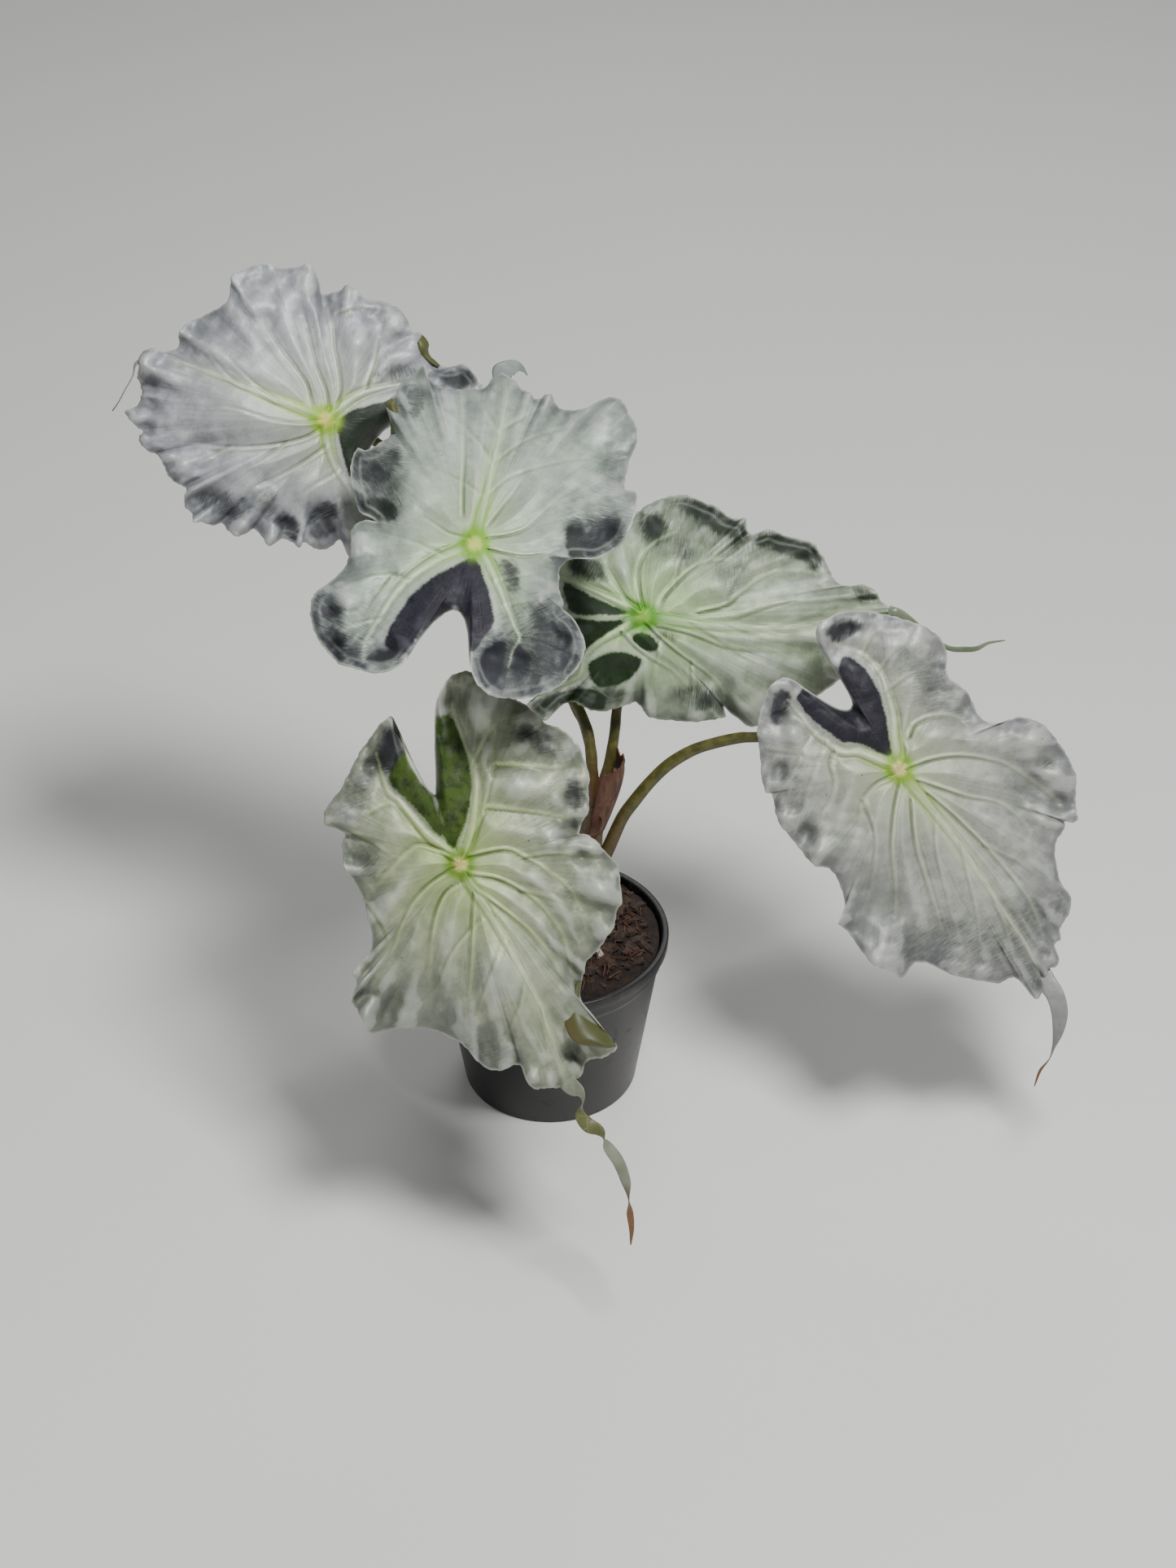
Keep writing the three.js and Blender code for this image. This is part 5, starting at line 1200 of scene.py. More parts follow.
LEAF_E = {
    "hub": (1105, 945), "depth": 84, "slope": (-0.12, 0.05), "bend": (0.0015, 0.0012), "crimp": 0.6,
    "ripples": [[3, 20, 3, 3], [46, 60, 2, 3], [60, 82, 4, 4]],
    "margin": [
        (1284, 1203), (1283, 1212), (1276, 1228), (1267, 1223), (1259, 1213), (1250, 1203), (1241, 1202),
        (1229, 1208), (1209, 1206), (1186, 1202), (1163, 1195), (1143, 1185), (1129, 1182), (1120, 1187),
        (1109, 1201), (1092, 1193), (1076, 1187), (1065, 1177), (1053, 1161), (1043, 1146), (1030, 1136),
        (1033, 1128), (1038, 1113), (1035, 1095), (1028, 1079), (1018, 1067), (1001, 1064), (992, 1055),
        (979, 1038), (963, 1020), (955, 1005), (951, 989), (949, 976), (940, 973), (936, 954), (934, 930),
        (931, 907), (932, 884), (937, 864), (943, 848), (953, 837), (965, 833), (977, 837), (988, 845),
        (1000, 853), (1014, 862), (1029, 870), (1041, 872), (1047, 868), (1045, 858), (1039, 846),
        (1027, 826), (1014, 806), (1005, 792), (1003, 774), (1012, 763), (1026, 755), (1041, 751),
        (1061, 750), (1080, 754), (1100, 758), (1119, 764), (1137, 770), (1151, 780), (1160, 792),
        (1164, 806), (1163, 821), (1167, 833), (1178, 842), (1190, 852), (1196, 866), (1202, 878),
        (1213, 887), (1229, 888), (1241, 884), (1252, 881), (1268, 884), (1282, 891), (1295, 904),
        (1302, 915), (1311, 927), (1317, 940), (1323, 958), (1322, 977), (1322, 993), (1325, 1005),
        (1319, 1011), (1309, 1010), (1308, 1018), (1301, 1029), (1296, 1044), (1299, 1067), (1305, 1087),
        (1315, 1100), (1316, 1116), (1309, 1130), (1303, 1141), (1303, 1154), (1296, 1161), (1301, 1176),
        (1299, 1187), (1288, 1192),
    ],
    "veins": [
        [(1105, 945), (1125, 970), (1150, 1000), (1180, 1040), (1210, 1085), (1260, 1160), (1278, 1200)],
        [(1105, 945), (1100, 910), (1098, 880), (1090, 850), (1080, 825), (1060, 805), (1020, 790)],
        [(1105, 945), (1080, 935), (1055, 925), (1035, 925), (1015, 912), (1000, 900), (968, 860)],
        [(1117, 905), (1125, 890), (1150, 880), (1175, 882), (1185, 890)],
        [(1115, 945), (1140, 935), (1165, 930), (1190, 930), (1220, 935), (1245, 945), (1300, 985)],
        [(1130, 960), (1160, 970), (1190, 980), (1220, 985), (1240, 995), (1260, 1015)],
        [(1140, 975), (1175, 1005), (1210, 1040), (1240, 1075), (1265, 1110), (1280, 1150)],
        [(1095, 955), (1075, 965), (1060, 985), (1055, 1010)],
        [(1105, 965), (1098, 1000), (1095, 1040), (1098, 1080), (1100, 1120)],
        [(1120, 985), (1125, 1040), (1140, 1090), (1155, 1140)],
        [(1025, 925), (1020, 940), (1025, 960), (1020, 985), (1010, 1000)],
    ],
    "creases": [
        [(1105, 945), (1117, 925), (1116, 895), (1117, 870)],
        [(943, 922), (970, 925), (1000, 932), (1025, 940)],
        [(1090, 850), (1110, 835), (1135, 825), (1155, 830)], [(1080, 825), (1100, 800), (1120, 785)],
        [(1060, 805), (1070, 785), (1085, 770)], [(1180, 1040), (1190, 1080), (1200, 1130), (1205, 1180)],
        [(1210, 1085), (1235, 1140), (1245, 1185)],
        [(1150, 1000), (1150, 1050), (1165, 1110), (1180, 1170)],
        [(1060, 985), (1075, 1030), (1070, 1080), (1060, 1120)],
        [(1000, 900), (985, 925), (970, 960), (965, 990)], [(1210, 1040), (1250, 1060), (1280, 1080)],
        [(1015, 912), (1000, 950), (985, 990)],
    ],
    "windows": [
        (1.0, 0.05, [(1096, 928), (1078, 923), (1055, 913), (1036, 912), (1020, 901), (1005, 889),
            (992, 877), (984, 866), (980, 856), (992, 852), (1006, 861), (1022, 869), (1038, 876),
            (1050, 871), (1050, 855), (1042, 838), (1034, 822), (1036, 808), (1048, 810), (1062, 822),
            (1074, 839), (1082, 857), (1089, 885), (1093, 910)]),
    ],
    "dusk": [
        (0.92, 1.8, 0.05, [(1012, 778), (1020, 767), (1036, 760), (1056, 761), (1062, 771), (1046, 783),
            (1026, 790)]),
        (0.92, 1.8, 0.05, [(945, 862), (956, 850), (967, 848), (972, 862), (966, 880), (955, 890),
            (946, 882)]),
        (0.42, 9, 0.2, [(936, 900), (975, 925), (1010, 980), (1010, 1040), (990, 1060), (952, 1010),
            (930, 950)]),
        (0.5, 9, 0.4, [(1100, 800), (1150, 800), (1170, 840), (1200, 880), (1170, 890), (1126, 880)]),
        (0.5, 13, 0.2, [(1100, 1130), (1190, 1120), (1270, 1090), (1290, 1160), (1270, 1215),
            (1180, 1205), (1110, 1190)]),
        (0.57, 1.8, 0.1, [(1274, 938), (1284, 933), (1295, 938), (1289, 947), (1277, 945)]),
        (0.34, 2.5, 0.1, [(1228, 958), (1255, 962), (1284, 974), (1298, 988), (1278, 992), (1250, 981)]),
        (0.46, 2.5, 0.1, [(1296, 1096), (1308, 1100), (1310, 1118), (1300, 1126), (1292, 1110)]),
        (0.52, 2.5, 0.1, [(1262, 1205), (1276, 1204), (1280, 1216), (1268, 1218)]),
    ],
    "forms": [
        (1078, 1118, 42, -8), (1060, 1080, 22, -3), (1150, 1162, 30, -5), (1262, 972, 28, -6),
        (1302, 990, 13, -4.5), (1283, 936, 9, -2.5), (1270, 912, 17, 4.5), (1152, 850, 21, -4),
        (1110, 792, 24, 3), (1018, 776, 14, 3.5), (1042, 772, 9, -2.5), (958, 880, 12, -5),
        (976, 900, 11, 3.5), (958, 946, 11, -3.5), (990, 1022, 13, -5), (974, 990, 13, -2.5),
        (1010, 1046, 13, 3.5), (1100, 1012, 38, 3), (1292, 1130, 11, 2.5), (1286, 1170, 8, -3.5),
        (1250, 1092, 22, 3), (1222, 1150, 17, -2.5), (1150, 902, 17, 2), (1206, 1196, 14, 2.5),
    ],
    "folds": [],
    "drip": {
        "withered": 0.68,
        "path": [
            (1278, 1192, 0), (1287, 1208, 1), (1297, 1224, 2), (1302, 1245, 2), (1300, 1268, 1),
            (1294, 1289, 0), (1289, 1302, -1), (1278, 1316, -2), (1271, 1335, -3),
        ],
        "widths": [9, 9.2, 8.8, 8, 5.5, 2.2, 2.2, 1.9, 0.5],
        "twist": [0, 0.1, 0.2, 0.3, 0.5, 1.1, 1.9, 2.6, 3],
    },
}

LEAVES = {"a": LEAF_A, "b": LEAF_B, "c": LEAF_C, "d": LEAF_D, "e": LEAF_E}

# Light silver, shaded silver, heart, outer (the greyer margin band, partly painted shade), vein, groove,
# green beside the ribs, bare green, hub.

LEAF_COLOURS = {
    "a": ("#b4b7bb", "#85878d", "#b2baa2", "#8a8a95", "#ccd2b8", "#55693c", "#8fb52e", "#25351b", "#d2d264"),
    "b": ("#acb9ab", "#7b867c", "#a9bd90", "#61666d", "#c8d5ae", "#4c6a32", "#76aa1e", "#25351b", "#c4d464"),
    "c": ("#b2bea4", "#78886a", "#9fc07a", "#58654c", "#c6d8a6", "#33541e", "#57981c", "#22361a", "#84b83c"),
    "d": ("#aab295", "#767e66", "#a0b36c", "#61655a", "#c4d390", "#3f5c1e", "#68901c", "#42581b", "#ccc878"),
    "e": ("#b4b6ac", "#81847f", "#adb890", "#6b6b73", "#ccd1b0", "#50693a", "#80a626", "#25351b", "#d4cc84"),
}


def fibres(add, along, across, detail):
    """Noise drawn out beside the ribs: along is its scale along a rib and across that of the
    distance from it, both per metre."""
    run = add("multiply", add("attribute", attribute_name="along"), along)
    off = add("multiply", add("attribute", attribute_name="across"), across)
    return add("noise", add("combine", run, off), 1.0, detail, 0.5)


# The marks of a leaf's face that its material reads.

FACE_MARKS = (
    "reach", "ray_x", "ray_y", "heart", "outer", "swell", "tilt", "raised", "crease", "flank", "rib",
    "midrib", "halo", "dusk", "moss", "window", "second", "rimline", "hub", "withered",
)


def leaf_face_material(name, light, dull, heart, edge, vein, crease, flank, green, centre):
    """Upper leaf skin: a silver, faintly metallic skin with fibres that run outwards, greener at
    the heart. Painted shade turns it to slate on steep ground, in hollows and in the outer band,
    where the leaf's own margin is also greyer, and ridges and swellings get a painted highlight.
    At dusk it is dark slate where the silver thins out, and painted shade in the broad patches. It
    is bare in the windows. It has pale veins beside green grooves, a green wedge on the midrib and
    a thin pale rim."""
    material, shade, place, add = new_material(name)
    mark = {key: add("attribute", attribute_name=key) for key in FACE_MARKS}
    # Silver: clouds of 24 mm, mottling of 6 mm, and fibres along the rays from the hub.
    clouds = add("ramp", add("noise", place, 42, 6, 0.68), 0.14, 0.74)
    base = add("mix", clouds, dull, light)
    mottle = add("ramp", add("noise", place, 170, 6, 0.74), 0.32, 0.58, 0.38, 0.0)
    base = add("mix", mottle, base, "#5f665c")
    comb = fibres(add, 1900, 160, 3)
    lines = fibres(add, 90, 1900, 2)
    outwards = add("multiply", mark["reach"], 0.05)
    rays = add("noise", add("combine", mark["ray_x"], mark["ray_y"], outwards), 330, 4, 0.6)
    base = add("mix", add("ramp", rays, 0.5, 0.72, 0.0, 0.24), base, "#d2d7cd")
    base = add("mix", add("ramp", rays, 0.5, 0.28, 0.0, 0.2), base, "#5c6357")
    base = add("mix", add("ramp", comb, 0.48, 0.72, 0.0, 0.18), base, "#cbd0c8")
    # Heart, outer band and relief. The outer band is the leaf's greyer margin, deepened by painted shade
    # where it bends away; hollows and steep ground get painted shade, ridges and swellings a painted
    # highlight.
    base = add("mix", mark["heart"], base, heart)
    uneven = add("ramp", add("noise", place, 60, 3, 0.55), 0.3, 0.7, 0.5, 1.0)
    # Outer band: partly the leaf's own greyer margin, partly painted shade.
    base = add("mix", add("multiply", mark["outer"], uneven), base, edge)
    # Painted shade in the hollows of the forms, painted highlight on their swellings.
    base = add("mix", add("ramp", mark["swell"], 0.42, 0.02, 0.0, 0.4), base, "#5d6161")
    base = add("mix", add("ramp", mark["swell"], 0.55, 0.95, 0.0, 0.3), base, "#c4c9c3")
    # Painted shade on steep ground, broken into patches by the noise thin.
    thin = add("ramp", add("noise", place, 90, 4, 0.55), 0.3, 0.7, 0.5, 1.0)
    steep = add("ramp", mark["tilt"], 0.06, 0.4, 0.0, 0.38)
    base = add("mix", add("multiply", steep, thin), base, "#504f5b")
    # Painted shade where the relief is low, painted highlight where it is raised.
    base = add("mix", add("ramp", mark["raised"], 0.45, 0.0, 0.0, 0.26), base, "#535a50")
    base = add("mix", add("ramp", mark["raised"], 0.55, 1.0, 0.0, 0.32), base, "#dbdfd7")
    # Veins: green groove and wedge, pale rib.
    base = add("mix", add("multiply", mark["crease"], 0.85), base, crease)
    greened = add("multiply", mark["flank"], 0.9)
    base = add("mix", greened, base, flank)
    streak = add("ramp", add("noise", place, 160, 4, 0.7), 0.3, 0.62, 0.55, 1.0)
    base = add("mix", add("multiply", mark["rib"], streak), base, vein)
    lined = add("ramp", lines, 0.36, 0.6, 0.25, 0.9)
    pale = add("multiply", mark["midrib"], lined)
    pale = add("multiply", pale, add("subtract", 1.0, greened))
    base = add("mix", pale, base, "#d9dec4")
    ruffled = add("multiply", mark["halo"], add("ramp", comb, 0.35, 0.7, 0.3, 1.0))
    base = add("mix", add("multiply", ruffled, 0.6), base, "#cdd0cd")
    # Dusk: patchy slate with a combed edge, where the silver thins out, and painted shade in the broad, soft
    # patches.
    patches = add("ramp", add("noise", place, 75, 5, 0.65), 0.3, 0.65, 0.78, 1.0)
    dusk = add("multiply", mark["dusk"], patches)
    fringe = add("multiply", dusk, add("subtract", 1.0, dusk))
    combed = add("subtract", comb, 0.5)
    streaks = add("multiply", combed, -3.0)
    dusk = add("add", dusk, add("multiply", fringe, streaks), use_clamp=True)
    dusk = add("ramp", dusk, 0.08, 0.9, 0.0, 0.95)
    base = add("mix", dusk, base, add("mix", mark["moss"], "#25242d", "#1d2719"))
    # Windows: slate or patchy green, hazy where they are bluish, with a faint net of 3 mm cells and a
    # painted highlight on raised points.
    ragged = add("add", mark["window"], add("multiply", combed, 0.45))
    bare = add("ramp", ragged, 0.3, 0.62)
    patchy = add("mix", add("ramp", add("noise", place, 150, 5, 0.65), 0.26, 0.6), "#1a2610", green)
    dark = add("mix", mark["moss"], "#211f28", patchy)
    bluish = add("subtract", 1.15, mark["moss"], use_clamp=True)
    haze = add("ramp", add("noise", place, 70, 5, 0.55), 0.42, 0.75, 0.0, 0.35)
    dark = add("mix", add("multiply", haze, bluish), dark, "#44424d")
    dark = add("mix", add("multiply", add("ramp", comb, 0.55, 0.75, 0.0, 0.25), bluish), dark, "#605e6b")
    cells = add("ramp", add("net", place, 330.0), 0.0, 0.09, 1.0, 0.0)
    dark = add("mix", add("multiply", cells, 0.02), dark, "#8a9484")
    # Painted highlight on the raised points in the windows.
    dark = add("mix", add("ramp", mark["raised"], 0.75, 1.0, 0.0, 0.12), dark, "#9a9ca6")
    base = add("mix", bare, base, dark)
    # Rim lines, the rayed green hub, specks 10 mm apart, and the withered drip tip.
    base = add("mix", add("multiply", mark["second"], 0.35), base, "#a9afa6")
    base = add("mix", add("multiply", mark["rimline"], 0.8), base, "#c2c8b8")
    rayed = add("add", mark["hub"], add("multiply", streaks, 0.06))
    base = add("mix", add("ramp", rayed, 0.05, 0.55, 0.0, 0.92), base, flank)
    base = add("mix", add("ramp", mark["hub"], 0.62, 0.97), base, centre)
    few = add("ramp", add("noise", place, 37, 2, 0.55), 0.52, 0.56)
    spots = add("multiply", add("ramp", add("cells", place, 105.0), 0.03, 0.05, 1.0, 0.0), few)
    base = add("mix", add("multiply", spots, 0.75), base, "#3d3230")
    base = add("mix", mark["withered"], base, "#6a4c30")
    # Gloss: the silver is faintly metallic, and dull at dusk.
    rough = add("ramp", add("noise", place, 130, 3, 0.55), 0.3, 0.7, 0.44, 0.56)
    rough = add("add", rough, add("multiply", dusk, 0.12))
    silver = add("subtract", 1.0, add("add", bare, dusk, use_clamp=True))
    normal = add("bump", comb, 0.3, 0.0003)
    normal = add("bump", rays, 0.4, 0.0006, normal)
    normal = add("bump", add("noise", place, 240, 5, 0.62), 0.5, 0.0005, normal)
    normal = add("bump", cells, 0.12, 0.00012, normal)
    shade({
        "Base Color": base,
        "Roughness": rough,
        "Metallic": add("multiply", silver, 0.18),
        "Specular IOR Level": add("ramp", silver, 0.0, 1.0, 0.25, 0.5),
        "Normal": normal,
    })
    return material


def leaf_back_material():
    """Underside: matt olive green in clouds of 22 mm, paler on the raised ribs, with a net of veins
    5 mm apart; painted shade darkens the folded-over flaps."""
    material, shade, place, add = new_material("leaf_underside")
    clouds = add("ramp", add("noise", place, 45, 5, 0.55), 0.3, 0.7)
    base = add("mix", clouds, "#45481f", "#60653a")
    lines = add("ramp", add("net", place, 190.0), 0.0, 0.1, 1.0, 0.0)
    fold = add("attribute", attribute_name="fold")
    veined = add("multiply", lines, add("ramp", fold, 0.0, 1.0, 0.2, 0.02))
    base = add("mix", veined, base, "#90965e")
    base = add("mix", add("attribute", attribute_name="window"), base, "#4d5230")
    base = add("mix", add("attribute", attribute_name="rib"), base, "#8f955c")
    # Painted shade: the folded-over flaps are darker.
    base = add("mix", add("multiply", fold, 0.6), base, "#3f431f")
    rim = add("mix", fold, "#c2c59a", "#60512e")
    base = add("mix", add("attribute", attribute_name="rimline"), base, rim)
    base = add("mix", add("attribute", attribute_name="withered"), base, "#6a4c30")
    normal = add("bump", veined, 0.6, 0.0008)
    normal = add("bump", add("noise", place, 300, 4, 0.55), 0.4, 0.0003, normal)
    shade({"Base Color": base, "Roughness": 0.5, "Normal": normal})
    return material


def nearest_vein(places, veins):
    """Signed distance in mm to the nearest vein, positive on its left, with the share of its length
    and the mm that lie behind that point."""
    least = np.full(len(places), 1e9)
    side, share_run, mm_run = np.zeros((3, len(places)))
    for vein in veins:
        points = curve_through(vein, 4 * len(vein))
        steps = np.linalg.norm(np.diff(points, axis=0), axis=1)
        total, run = steps.sum(), 0.0
        for start, end, step in zip(points[:-1], points[1:], steps):
            offset = places - start
            along = np.clip((offset @ (end - start)) / step**2, 0, 1)
            away = np.linalg.norm(offset - along[:, None] * (end - start), axis=1)
            turn = (end[0] - start[0]) * offset[:, 1] - (end[1] - start[1]) * offset[:, 0]
            nearer = away < least
            least = np.where(nearer, away, least)
            side = np.where(nearer, np.where(turn < 0, 1, -1), side)
            share_run = np.where(nearer, (run + along * step) / total, share_run)
            mm_run = np.where(nearer, (run + along * step) * DRAWING_MM, mm_run)
            run += step
    return side * least * DRAWING_MM, share_run, mm_run


def inside_distance(places, outline):
    """Signed distance in mm to a closed outline, positive inside: the least distance to its edges,
    with the sign of an even-odd crossing count."""
    points = curve_through(outline, 3 * len(outline), ends=False)
    least = np.full(len(places), 1e9)
    crossings = np.zeros(len(places), int)
    for start, end in zip(points, np.roll(points, -1, axis=0)):
        edge = end - start
        along = np.clip(((places - start) @ edge) / max(edge @ edge, 1e-9), 0, 1)
        least = np.minimum(least, np.linalg.norm(places - start - along[:, None] * edge, axis=1))
        spans = (start[1] > places[:, 1]) != (end[1] > places[:, 1])
        level = start[0] + (places[:, 1] - start[1]) / (edge[1] if abs(edge[1]) > 1e-9 else 1e-9) * edge[0]
        crossings += spans & (places[:, 0] < level)
    return np.where(crossings % 2 == 1, least, -least) * DRAWING_MM


def margin_lift(leaf, count, seed):
    """Two lifts in mm at each column of the margin: the ruffle, RUFFLE_GAIN times the knot's reach
    beyond its neighbours' mean plus the leaf's ripples; and the small folds that run in from it."""
    margin = np.asarray(leaf["margin"], float)
    reach = np.linalg.norm(margin - leaf["hub"], axis=1)
    near = sum(np.roll(reach, k) for k in range(-RUFFLE_SPAN, RUFFLE_SPAN + 1)) / (2 * RUFFLE_SPAN + 1)
    bulge = curve_through(((reach - near) * DRAWING_MM)[:, None], count, ends=False)[:, 0]
    knot = np.arange(count) * len(margin) / count
    lift = RUFFLE_GAIN * bulge
    for first, last, waves, height in leaf["ripples"]:
        share = np.clip((knot - first) / (last - first), 0, 1)
        lift += height * np.sin(2 * np.pi * waves * share) * np.sqrt(np.sin(np.pi * share))
    random = np.random.default_rng(seed + 20)
    folds = np.zeros(count)
    turn = 2 * np.pi * np.arange(count) / count
    for waves in FOLD_WAVES:
        folds += np.sin(waves * turn + random.uniform(0, 2 * np.pi)) * random.uniform(0.5, 1)
    size = curve_through((reach / reach.mean())[:, None], count, ends=False)[:, 0] ** 2
    folds = FOLD_HEIGHT * leaf["crimp"] * folds * (0.7 + 0.5 * np.sin(3 * turn + seed))
    return lift, folds * np.minimum(size, 1.3)


def soft_step(value, height):
    """height / (1 + exp(-value)): 0 well below value 0, and height well above it."""
    return height / (1 + np.exp(-np.clip(value, -40, 40)))


def leaf_ground(leaf, places, seed):
    """What lies near each place: mm right and up of the hub, the nearest rib, side vein and crease,
    the distance to the rim, the leaf's own swellings and its windows."""
    x = (places[:, 0] - leaf["hub"][0]) * DRAWING_MM
    y = (leaf["hub"][1] - places[:, 1]) * DRAWING_MM
    rim = np.maximum(inside_distance(places, leaf["margin"]), 0)
    swell = np.zeros(len(places))
    for across, down, size, height in leaf["forms"]:
        swell += height * hill(np.hypot(places[:, 0] - across, places[:, 1] - down), size)
    bare, moss, halo, dusk = np.zeros((4, len(places)))
    fray = 1.1 * wander(x, y, 7, seed + 9) + 0.7 * wander(x, y, 3, seed + 10)
    for strength, green, outline in leaf["windows"]:
        inside = inside_distance(places, outline) + 0.3 * fray + WINDOW_SPREAD * np.exp(-rim / 2.5)
        weight = soft_step(inside / 1.1, strength)
        halo = np.maximum(halo, hill(inside + 1.6, 1.8))
        moss = np.where(weight > bare, green, moss)
        bare = np.maximum(bare, weight)
    # Dusk: dark slate where the silver thins out, and painted shade in the broad, soft patches.
    for strength, softness, green, outline in leaf["dusk"]:
        inside = inside_distance(places, outline) + fray * min(1, 0.6 * softness)
        weight = soft_step(2 * inside / softness, strength)
        moss = np.where(weight > np.maximum(bare, dusk), green, moss)
        dusk = 1 - (1 - dusk) * (1 - weight)
    return {
        "x": x, "y": y, "rim": rim, "swell": swell, "bare": bare, "moss": moss, "halo": halo, "dusk": dusk,
        "veins": nearest_vein(places, leaf["veins"]),
        "ribs": nearest_vein(places, leaf["veins"][:3]),
        "midrib": nearest_vein(places, leaf["veins"][:1]),
        "sides": nearest_vein(places, leaf["veins"][3:]),
        "creases": nearest_vein(places, leaf["creases"]),
    }


def off_midrib(ground):
    """Where the nearest rib is a basal one and not the midrib."""
    return np.abs(ground["midrib"][0]) > np.abs(ground["ribs"][0]) + 1e-6


def face_depth(leaf, ground, share, lift, seed):
    """Depth in mm of the upper face: depth + slope·p - bend·p² + panels + veins + swellings +
    ruffle, less a roll at the rim and a hollow under the dusk patches."""
    x, y = ground["x"], ground["y"]
    sheet = leaf["depth"] + leaf["slope"][0] * x + leaf["slope"][1] * y
    sheet = sheet - leaf["bend"][0] * x**2 - leaf["bend"][1] * y**2
    panel = PANEL_RISE * (1 - hill(ground["veins"][0], PANEL_WIDTH))
    rib, run, _ = ground["ribs"]
    taper = 1.3 - 0.95 * run
    middle, middle_run, _ = ground["midrib"]
    sharp = taper * np.where(off_midrib(ground), 1, 0.45)
    relief = sharp * (0.95 * hill(rib, 1.5 * taper) - 0.45 * hill(np.abs(rib) - 2.9 * taper, 0.95))
    relief = relief + 1.3 * (1 - middle_run) * hill(middle, 5 - 3 * middle_run)
    vein, vein_run, _ = ground["sides"]
    relief = relief + (1.1 - 0.9 * vein_run) * (0.8 * hill(vein - 0.9, 0.9) - 0.75 * hill(vein + 0.6, 0.7))
    crease, crease_run, _ = ground["creases"]
    fine = 0.4 * hill(crease - 1.1, 1.1) - 0.5 * hill(crease + 0.5, 0.8)
    relief = relief + (1 - 0.85 * crease_run) * fine
    unrest = share * (LARGE_UNREST * wander(x, y, 20, seed) + SMALL_UNREST * wander(x, y, 9, seed + 1))
    pucker = share**5 * (0.9 * wander(x, y, 8, seed + 2) + 0.4 * wander(x, y, 4, seed + 3))
    roll = RIM_ROLL * np.exp(-ground["rim"] / 2.4) * (0.75 + 0.5 * wander(x, y, 18, seed + 4))
    roll = roll * np.clip(np.hypot(x, y) / 55, 0, 1) ** 2
    ruffle = lift[0] * share**RUFFLE_ONSET + lift[1] * share**5
    hollow = DUSK_HOLLOW * ground["dusk"]
    return sheet + panel + relief + unrest + pucker - roll - hollow + ground["swell"] + ruffle


def blurred(grid, rings, columns):
    """Mean over a window of rings by columns, cyclic round the columns."""
    padded = np.pad(grid, ((rings, rings), (0, 0)), mode="edge")
    total = sum(padded[k : k + len(grid)] for k in range(2 * rings + 1)) / (2 * rings + 1)
    return sum(np.roll(total, k, axis=1) for k in range(-columns, columns + 1)) / (2 * columns + 1)


def ordered_margin(leaf, count, seed):
    """The margin's columns (count, 2): the curve with small teeth, turned so that its angle round
    the hub never runs back, and the same curve smoothed over a few knots."""
    hub = np.asarray(leaf["hub"], float)
    margin = curve_through(leaf["margin"], count, ends=False) - hub
    knot = np.arange(count) / COLUMNS_PER_KNOT
    teeth = 0.8 * np.sin(knot * 4.1) * np.sin(knot * 1.3 + seed) + 0.4 * np.sin(knot * 9.7 + seed)
    reach = np.linalg.norm(margin, axis=1) + teeth
    angle = np.unwrap(np.arctan2(margin[:, 1], margin[:, 0]))
    direction = np.sign(angle[-1] - angle[0])
    angle = angle * direction
    angle = (np.maximum.accumulate(angle) + np.minimum.accumulate(angle[::-1])[::-1]) / 2
    angle = (angle + 1e-4 * np.arange(count) / count) * direction
    edge = hub + reach[:, None] * np.stack((np.cos(angle), np.sin(angle)), 1)
    weights = np.exp(-((np.arange(-15, 16) / 8.0) ** 2))
    soft = sum(w * np.roll(edge, k, axis=0) for w, k in zip(weights, range(-15, 16))) / weights.sum()
    return edge, soft


def on_rings(row):
    """A row of numbers per column, given to every ring, with 0 at the hub."""
    return np.concatenate(([0.0], np.tile(row, RING_COUNT)))


def blade_normals(top, count):
    """Unit normals of the upper face, across the rings and columns; the hub has its ring's mean."""
    grid = top[1:].reshape(RING_COUNT, count, 3)
    along = np.gradient(grid, axis=0)
    around = np.roll(grid, -1, axis=1) - np.roll(grid, 1, axis=1)
    normal = unit(np.cross(around, along).reshape(-1, 3))
    normal *= np.sign((normal @ TOWARDS).sum())
    return np.vstack((unit(normal[:count].sum(axis=0))[None], normal))


def rim_rays(soft):
    """Each column's x and y in metres on a circle as long as the margin, by length along it."""
    length = np.cumsum(np.linalg.norm(np.roll(soft, -1, axis=0) - soft, axis=1)) * DRAWING_MM * MM
    turn = 2 * np.pi * length / length[-1]
    return length[-1] / (2 * np.pi) * np.stack((np.cos(turn), np.sin(turn)))


def vein_shares(ground):
    """How far each place is on a rib, and on a side vein or crease, from 0 to 1, and the ribs'
    taper, which falls from 1.3 at the hub to 0.35 at their ends."""
    ribs, run, _ = ground["ribs"]
    veins, vein_run, _ = ground["sides"]
    fine, fine_run, _ = ground["creases"]
    taper = 1.3 - 0.95 * run
    rib = hill(ribs, 1.5 * taper) * (1 - 0.4 * run)
    lateral = (1 - 0.8 * vein_run) * hill(veins - 0.8, 0.85)
    lateral = np.maximum(lateral, 0.4 * (1 - fine_run) * hill(fine - 0.8, 0.8))
    return rib, lateral, taper


